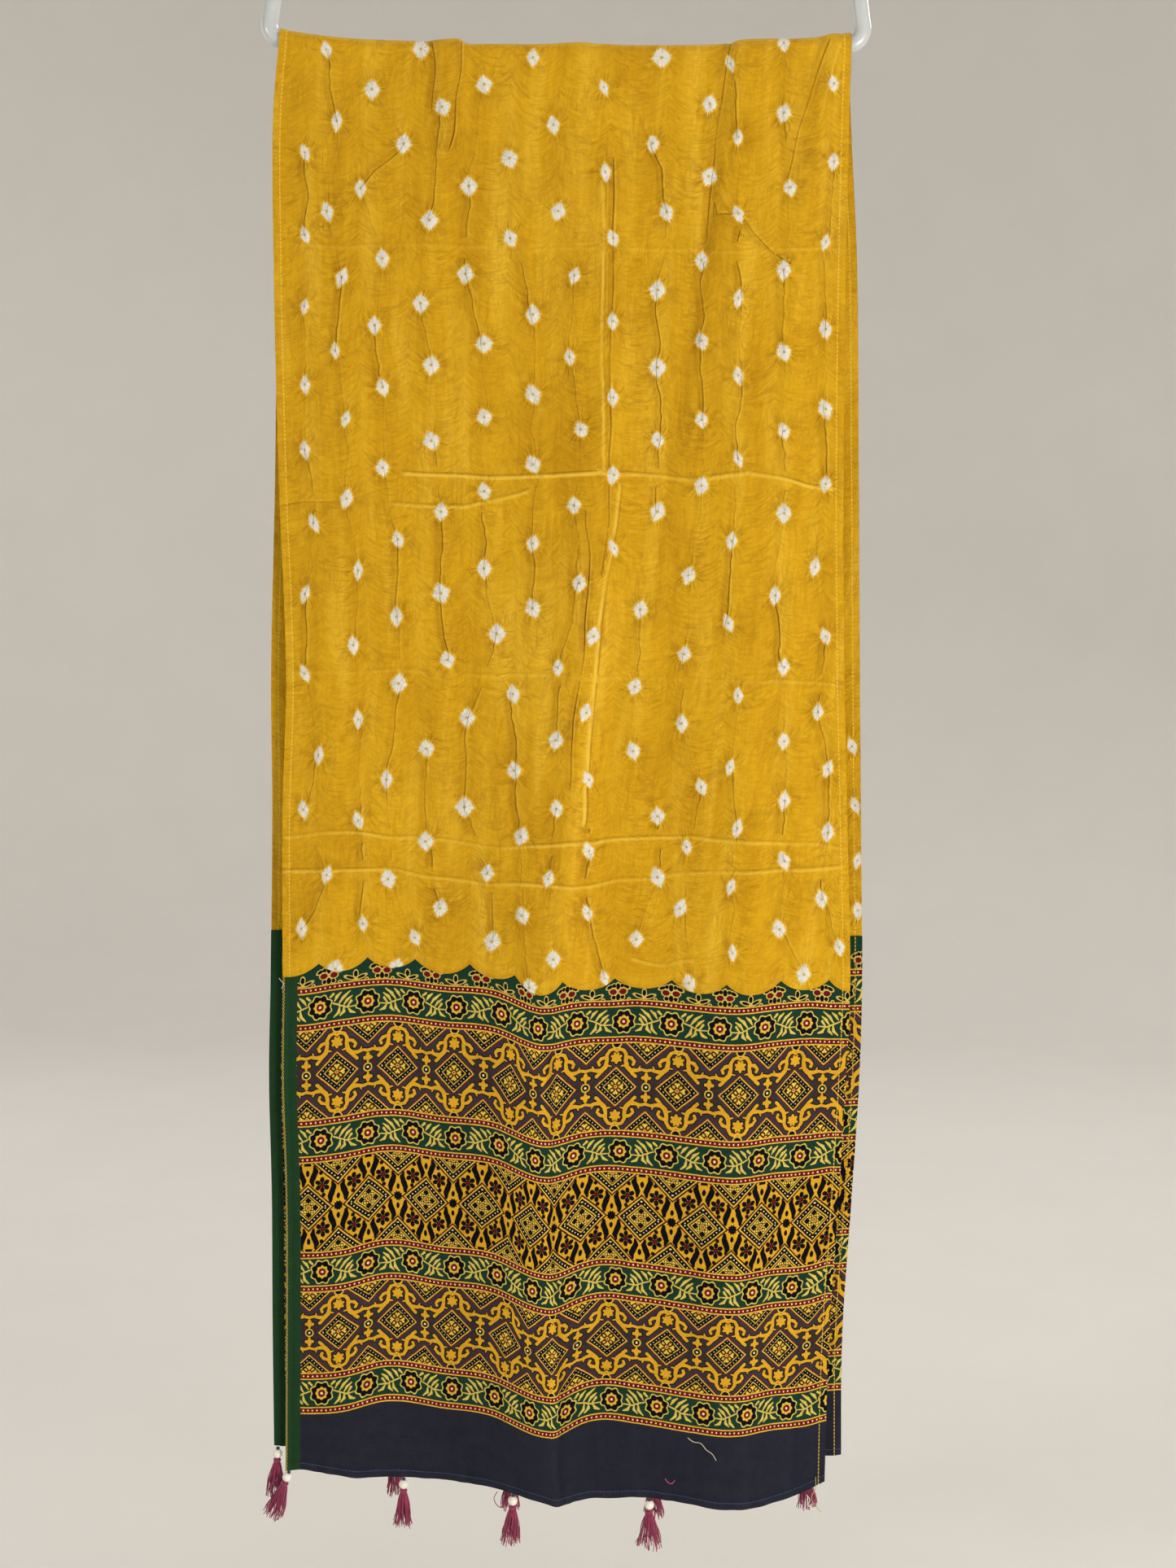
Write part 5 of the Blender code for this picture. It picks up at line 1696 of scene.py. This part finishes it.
def gold_look(height):
    """Yellow band of dark-lined diamonds, blossoms and curled stems."""
    look, u, q = print_look("print gold diamonds", PRINT_GOLD)
    u = u - GOLD_START
    x, y, far_x, local_x, local_y, edge = diamond_places(u, q, DIAMOND_PITCH, height, 18.0, 16.5)
    stems = either(stroke(far_x, y, *GOLD_STEMS_LOW), stroke(x, y, *GOLD_STEMS_HIGH))
    tears = either(oval(x, y - 26.3, 1.5, 2.5), oval(far_x, y - 7.5, 1.4, 2.3))
    foot = both(x - 2.8, height / 2 - 2.2 - y)
    blossom_angle = calc("ARCTAN2", y, far_x)
    blossom = size_of(far_x, y) - 3.5 - calc("COSINE", blossom_angle * 10.0) * 0.4
    side_x, side_y = x - 11.4, y - 17.0
    flower_angle = calc("FLOORED_MODULO", calc("ARCTAN2", side_y, side_x), math.pi / 3) - math.pi / 6
    flower_reach = size_of(side_x, side_y)
    petal_x = flower_reach * calc("COSINE", flower_angle) - 3.9
    petal_y = flower_reach * calc("SINE", flower_angle)
    flower = either(oval(petal_x, petal_y, 2.3, 1.8), flower_reach - 1.9)
    seeds = either(disc(x - 10.4, y - 26.3, 1.6), disc(x - 12.3, y - 9.4, 1.6))
    look.paint(ink(either(stems, tears, foot, blossom, flower, seeds)), PRINT_INK)
    look.paint(ink(flower_reach - 1.3), PRINT_MAROON)
    look.paint(ink(edge - 1.7), PRINT_INK)
    look.paint(ink(edge - 0.9), PRINT_MAROON)
    look.paint(ink(edge - 0.5), PRINT_YELLOW)
    look.paint(ink(edge + 0.5), PRINT_INK)
    along = (local_x - local_y) * 0.7071
    look.paint(ink(disc(repeat(along, 3.0), edge + 2.3, 0.52), 0.2), PRINT_CREAM)
    look.paint(ink(edge + 4.1), PRINT_YELLOW)
    look.paint(ink(edge + 4.9), PRINT_INK)
    look.paint(ink(edge + 5.8), PRINT_OLIVE)
    long_way = calc("MAXIMUM", local_x, local_y)
    short_way = calc("MINIMUM", local_x, local_y)
    rhomb = abs(long_way - 5.6) + short_way - 2.7
    slant = (local_x + local_y) * 0.7071
    small = line(abs(slant - 4.2) + abs(along) * 0.8 - 1.4, 0.8)
    look.paint(ink(either(rhomb, small), 0.3), PRINT_INK)
    heart = size_of(local_x, local_y)
    look.paint(ink(heart - 2.8), PRINT_INK)
    look.paint(ink(heart - 2.1), PRINT_YELLOW)
    look.paint(ink(heart - 1.3), PRINT_MAROON)
    look.paint(ink(heart - 0.4), PRINT_CREAM)
    return finish_print(look)


STRIP_PITCH = 40.8
STRIP_FLOWER_AT = 6.5
STRIP_SPRIG_AT = 27.0
STRIP_LINE_AT = 15.4


def strip_look():
    """Green strip with maroon blooms and small sprigs over the first dotted line."""
    look, u, q = print_look("print green strip", PRINT_GREEN)
    x = repeat(u - STRIP_FLOWER_AT, STRIP_PITCH)
    up = STRIP_LINE_AT - 9.3 - q
    wide = abs(x)
    reds = oval(wide - 3.9, up, 2.9, 2.2)
    turned_x, turned_y = turned_places(wide - 6.6, up - 3.6, -25)
    blacks = either(oval(x, abs(up) - 4.1, 1.7, 2.6), disc(wide - 3.4, up + 4.4, 1.6),
                    oval(turned_x, turned_y, 2.5, 1.3), disc(wide - 3.2, up - 4.6, 1.5))
    look.paint(ink(either(reds, blacks) - 0.6), PRINT_PALE)
    look.paint(ink(blacks), PRINT_INK)
    look.paint(ink(reds), PRINT_MAROON)
    sprig_x = abs(repeat(u - STRIP_SPRIG_AT, STRIP_PITCH))
    sprig_up = STRIP_LINE_AT - 6.0 - q
    leaf_x, leaf_y = turned_places(sprig_x - 4.2, sprig_up + 0.6, 20)
    sprig = either(oval(sprig_x, sprig_up - 2.0, 1.5, 2.5), oval(leaf_x, leaf_y, 3.3, 1.1))
    arch = disc(repeat(u - STRIP_SPRIG_AT - 8.5, STRIP_PITCH / 2), q - STRIP_LINE_AT + 3.0, 1.6)
    look.paint(ink(either(sprig - 0.6, arch)), PRINT_PALE)
    look.paint(ink(either(sprig, arch + 0.8)), PRINT_INK)
    return finish_print(look)


def navy_look():
    """Plain navy hem band."""
    look, u, q = print_look("print navy hem", PRINT_NAVY)
    cloud = look.noise(look.place, 0.05, 3.0, 0.6)
    look.paint(calc("MULTIPLY_ADD", cloud, 2.0, -0.8, clamp=True) * 0.6, linear(40, 42, 52))
    edge, (from_left, from_right, to_hem) = look.vector("edge_mm")
    across, down, relief_shade = look.parts
    stitch = both(abs(to_hem - 5.0) - 0.3, abs(repeat(across, 2.7)) - 1.0)
    look.paint(ink(stitch) * 0.8, NAVY_STITCH)
    return finish_print(look)


def plastic_look():
    """Pale grey moulded plastic with faint scuffs."""
    look = Look("pale grey plastic", 0.28, specular=0.5)
    look.shader.inputs["Coat Weight"].default_value = 0.25
    look.shader.inputs["Coat Roughness"].default_value = 0.12
    coordinates = look.tree.nodes.new("ShaderNodeTexCoord").outputs["Object"]
    look.start(linear(192, 196, 195))
    cloud = look.noise(coordinates, 30.0, 3.0, 0.6)
    look.paint(calc("MULTIPLY_ADD", cloud, 2.0, -0.9, clamp=True) * 0.5, linear(176, 181, 181))
    scuff = look.noise(coordinates, 900.0, 2.0, 0.6, (0.2, 1, 1))
    look.bump(cloud + scuff * 0.1, 0.0002, 0.25)
    return look.finish()


def thread_look():
    """Maroon pink cotton threads."""
    look = Look("maroon pink thread", 0.75, sheen=0.3, specular=0.3)
    coordinates = look.tree.nodes.new("ShaderNodeTexCoord").outputs["Object"]
    look.start(linear(148, 26, 74))
    streak = look.noise(coordinates, 900.0, 2.0, 0.6, (1, 1, 0.12))
    look.paint(calc("MULTIPLY_ADD", streak, 3.0, -1.3, clamp=True), linear(104, 14, 52))
    parts = look.tree.nodes.new("ShaderNodeSeparateXYZ")
    look.tree.links.new(coordinates, parts.inputs[0])
    height = Num(parts.outputs[2])
    look.paint(calc("MULTIPLY_ADD", height, 2500.0, 17.5, clamp=True), linear(30, 32, 60))
    look.bump(streak, 0.0003, 0.7)
    return look.finish()


def ivory_look():
    """Glossy ivory bead."""
    look = Look("ivory bead", 0.22, specular=0.5)
    look.shader.inputs["Coat Weight"].default_value = 0.5
    look.shader.inputs["Coat Roughness"].default_value = 0.08
    coordinates = look.tree.nodes.new("ShaderNodeTexCoord").outputs["Object"]
    look.start(linear(236, 232, 216))
    cloud = look.noise(coordinates, 320.0, 3.0, 0.6)
    look.paint(calc("MULTIPLY_ADD", cloud, 2.0, -0.8, clamp=True) * 0.5, linear(214, 202, 172))
    look.bump(cloud, 0.0001, 0.3)
    return look.finish()


# Stage, light and camera

def build_stage():
    """Pale floor that curves up far away on all sides."""
    floor_z = -1.47
    bm = bmesh.new()
    profile = [(0.0005, 0.0), (1.5, 0.0), (2.6, 0.0)]
    for step in range(1, 13):
        angle = math.pi / 2 * step / 12
        profile.append((2.6 + 1.4 * math.sin(angle), 1.4 * (1 - math.cos(angle))))
    profile.append((4.0, 3.6))
    turned(bm, profile, 96)
    mesh = mesh_of("floor", bm)
    floor = bpy.data.objects.new("floor", mesh)
    floor.location.z = floor_z
    bpy.context.scene.collection.objects.link(floor)
    look = Look("pale floor", 0.9, specular=0.1)
    coordinates = look.tree.nodes.new("ShaderNodeTexCoord").outputs["Object"]
    look.start(linear(226, 222, 214))
    look.shade(look.noise(coordinates, 6.0, 4.0, 0.6), 0.97, 1.03)
    mesh.materials.append(look.finish())


def add_area_light(name, place, target, size, power, colour):
    """Soft square light aimed at a place."""
    data = bpy.data.lights.new(name, "AREA")
    data.shape = "SQUARE"
    data.size = size
    data.energy = power
    data.color = colour
    light = bpy.data.objects.new(name, data)
    light.location = place
    direction = Vector(target) - Vector(place)
    light.rotation_euler = direction.to_track_quat("-Z", "Y").to_euler()
    bpy.context.scene.collection.objects.link(light)


def build_lights():
    """Soft lights from both sides in front, behind and above, and a pale sky."""
    middle = (0.0, 0.0, -0.75)
    add_area_light("key", (-3.2, -2.4, -0.4), middle, 0.8, 120, (1.0, 0.98, 0.95))
    add_area_light("fill", (1.8, -2.0, -1.0), middle, 1.0, 50, (1.0, 0.98, 0.95))
    add_area_light("back key", (1.4, 2.0, 1.1), middle, 1.2, 26, (1.0, 0.98, 0.95))
    add_area_light("back fill", (-1.9, 1.7, -0.2), middle, 1.6, 8, (0.96, 0.98, 1.0))
    add_area_light("top", (0.3, 0.1, 1.5), middle, 0.9, 15, (1.0, 0.98, 0.95))
    world = bpy.data.worlds.new("studio")
    world.use_nodes = True
    world.node_tree.nodes["Background"].inputs["Color"].default_value = (0.92, 0.94, 1.0, 1.0)
    world.node_tree.nodes["Background"].inputs["Strength"].default_value = 0.42
    bpy.context.scene.world = world


def build_camera():
    """Camera at the photograph's place, with its small roll."""
    data = bpy.data.cameras.new("camera")
    data.sensor_fit = "VERTICAL"
    data.sensor_height = SENSOR
    data.lens = SENSOR * FOCAL_PIXELS / PHOTO_HEIGHT
    data.clip_start = 0.05
    camera = bpy.data.objects.new("camera", data)
    tip = Matrix.Rotation(math.pi / 2 - CAMERA_DOWN, 4, "X")
    roll = Matrix.Rotation(CAMERA_ROLL, 4, "Z")
    camera.matrix_world = Matrix.Translation(CAMERA_PLACE) @ tip @ roll
    bpy.context.scene.collection.objects.link(camera)
    bpy.context.scene.camera = camera


def main():
    """Dress the whole model."""
    bpy.context.scene.view_settings.view_transform = "Standard"
    build_camera()
    build_lights()
    build_stage()
    build_hanger(plastic_look())
    threads = build_loose_threads()
    build_field(field_look())
    materials = {
        "strip": strip_look(),
        "bead": bead_look(),
        "border": border_look(),
        "slate": slate_look(SLATE_HEIGHT * 1000),
        "gold": gold_look(GOLD_HEIGHT * 1000),
        "navy": navy_look(),
    }
    build_panel("front", materials)
    build_panel("back", materials)
    thread = thread_look()
    ivory = ivory_look()
    build_tassels("front", FRONT_TASSELS, thread, ivory)
    build_tassels("back", BACK_TASSELS, thread, ivory)


main()
bpy.context.view_layer.update()
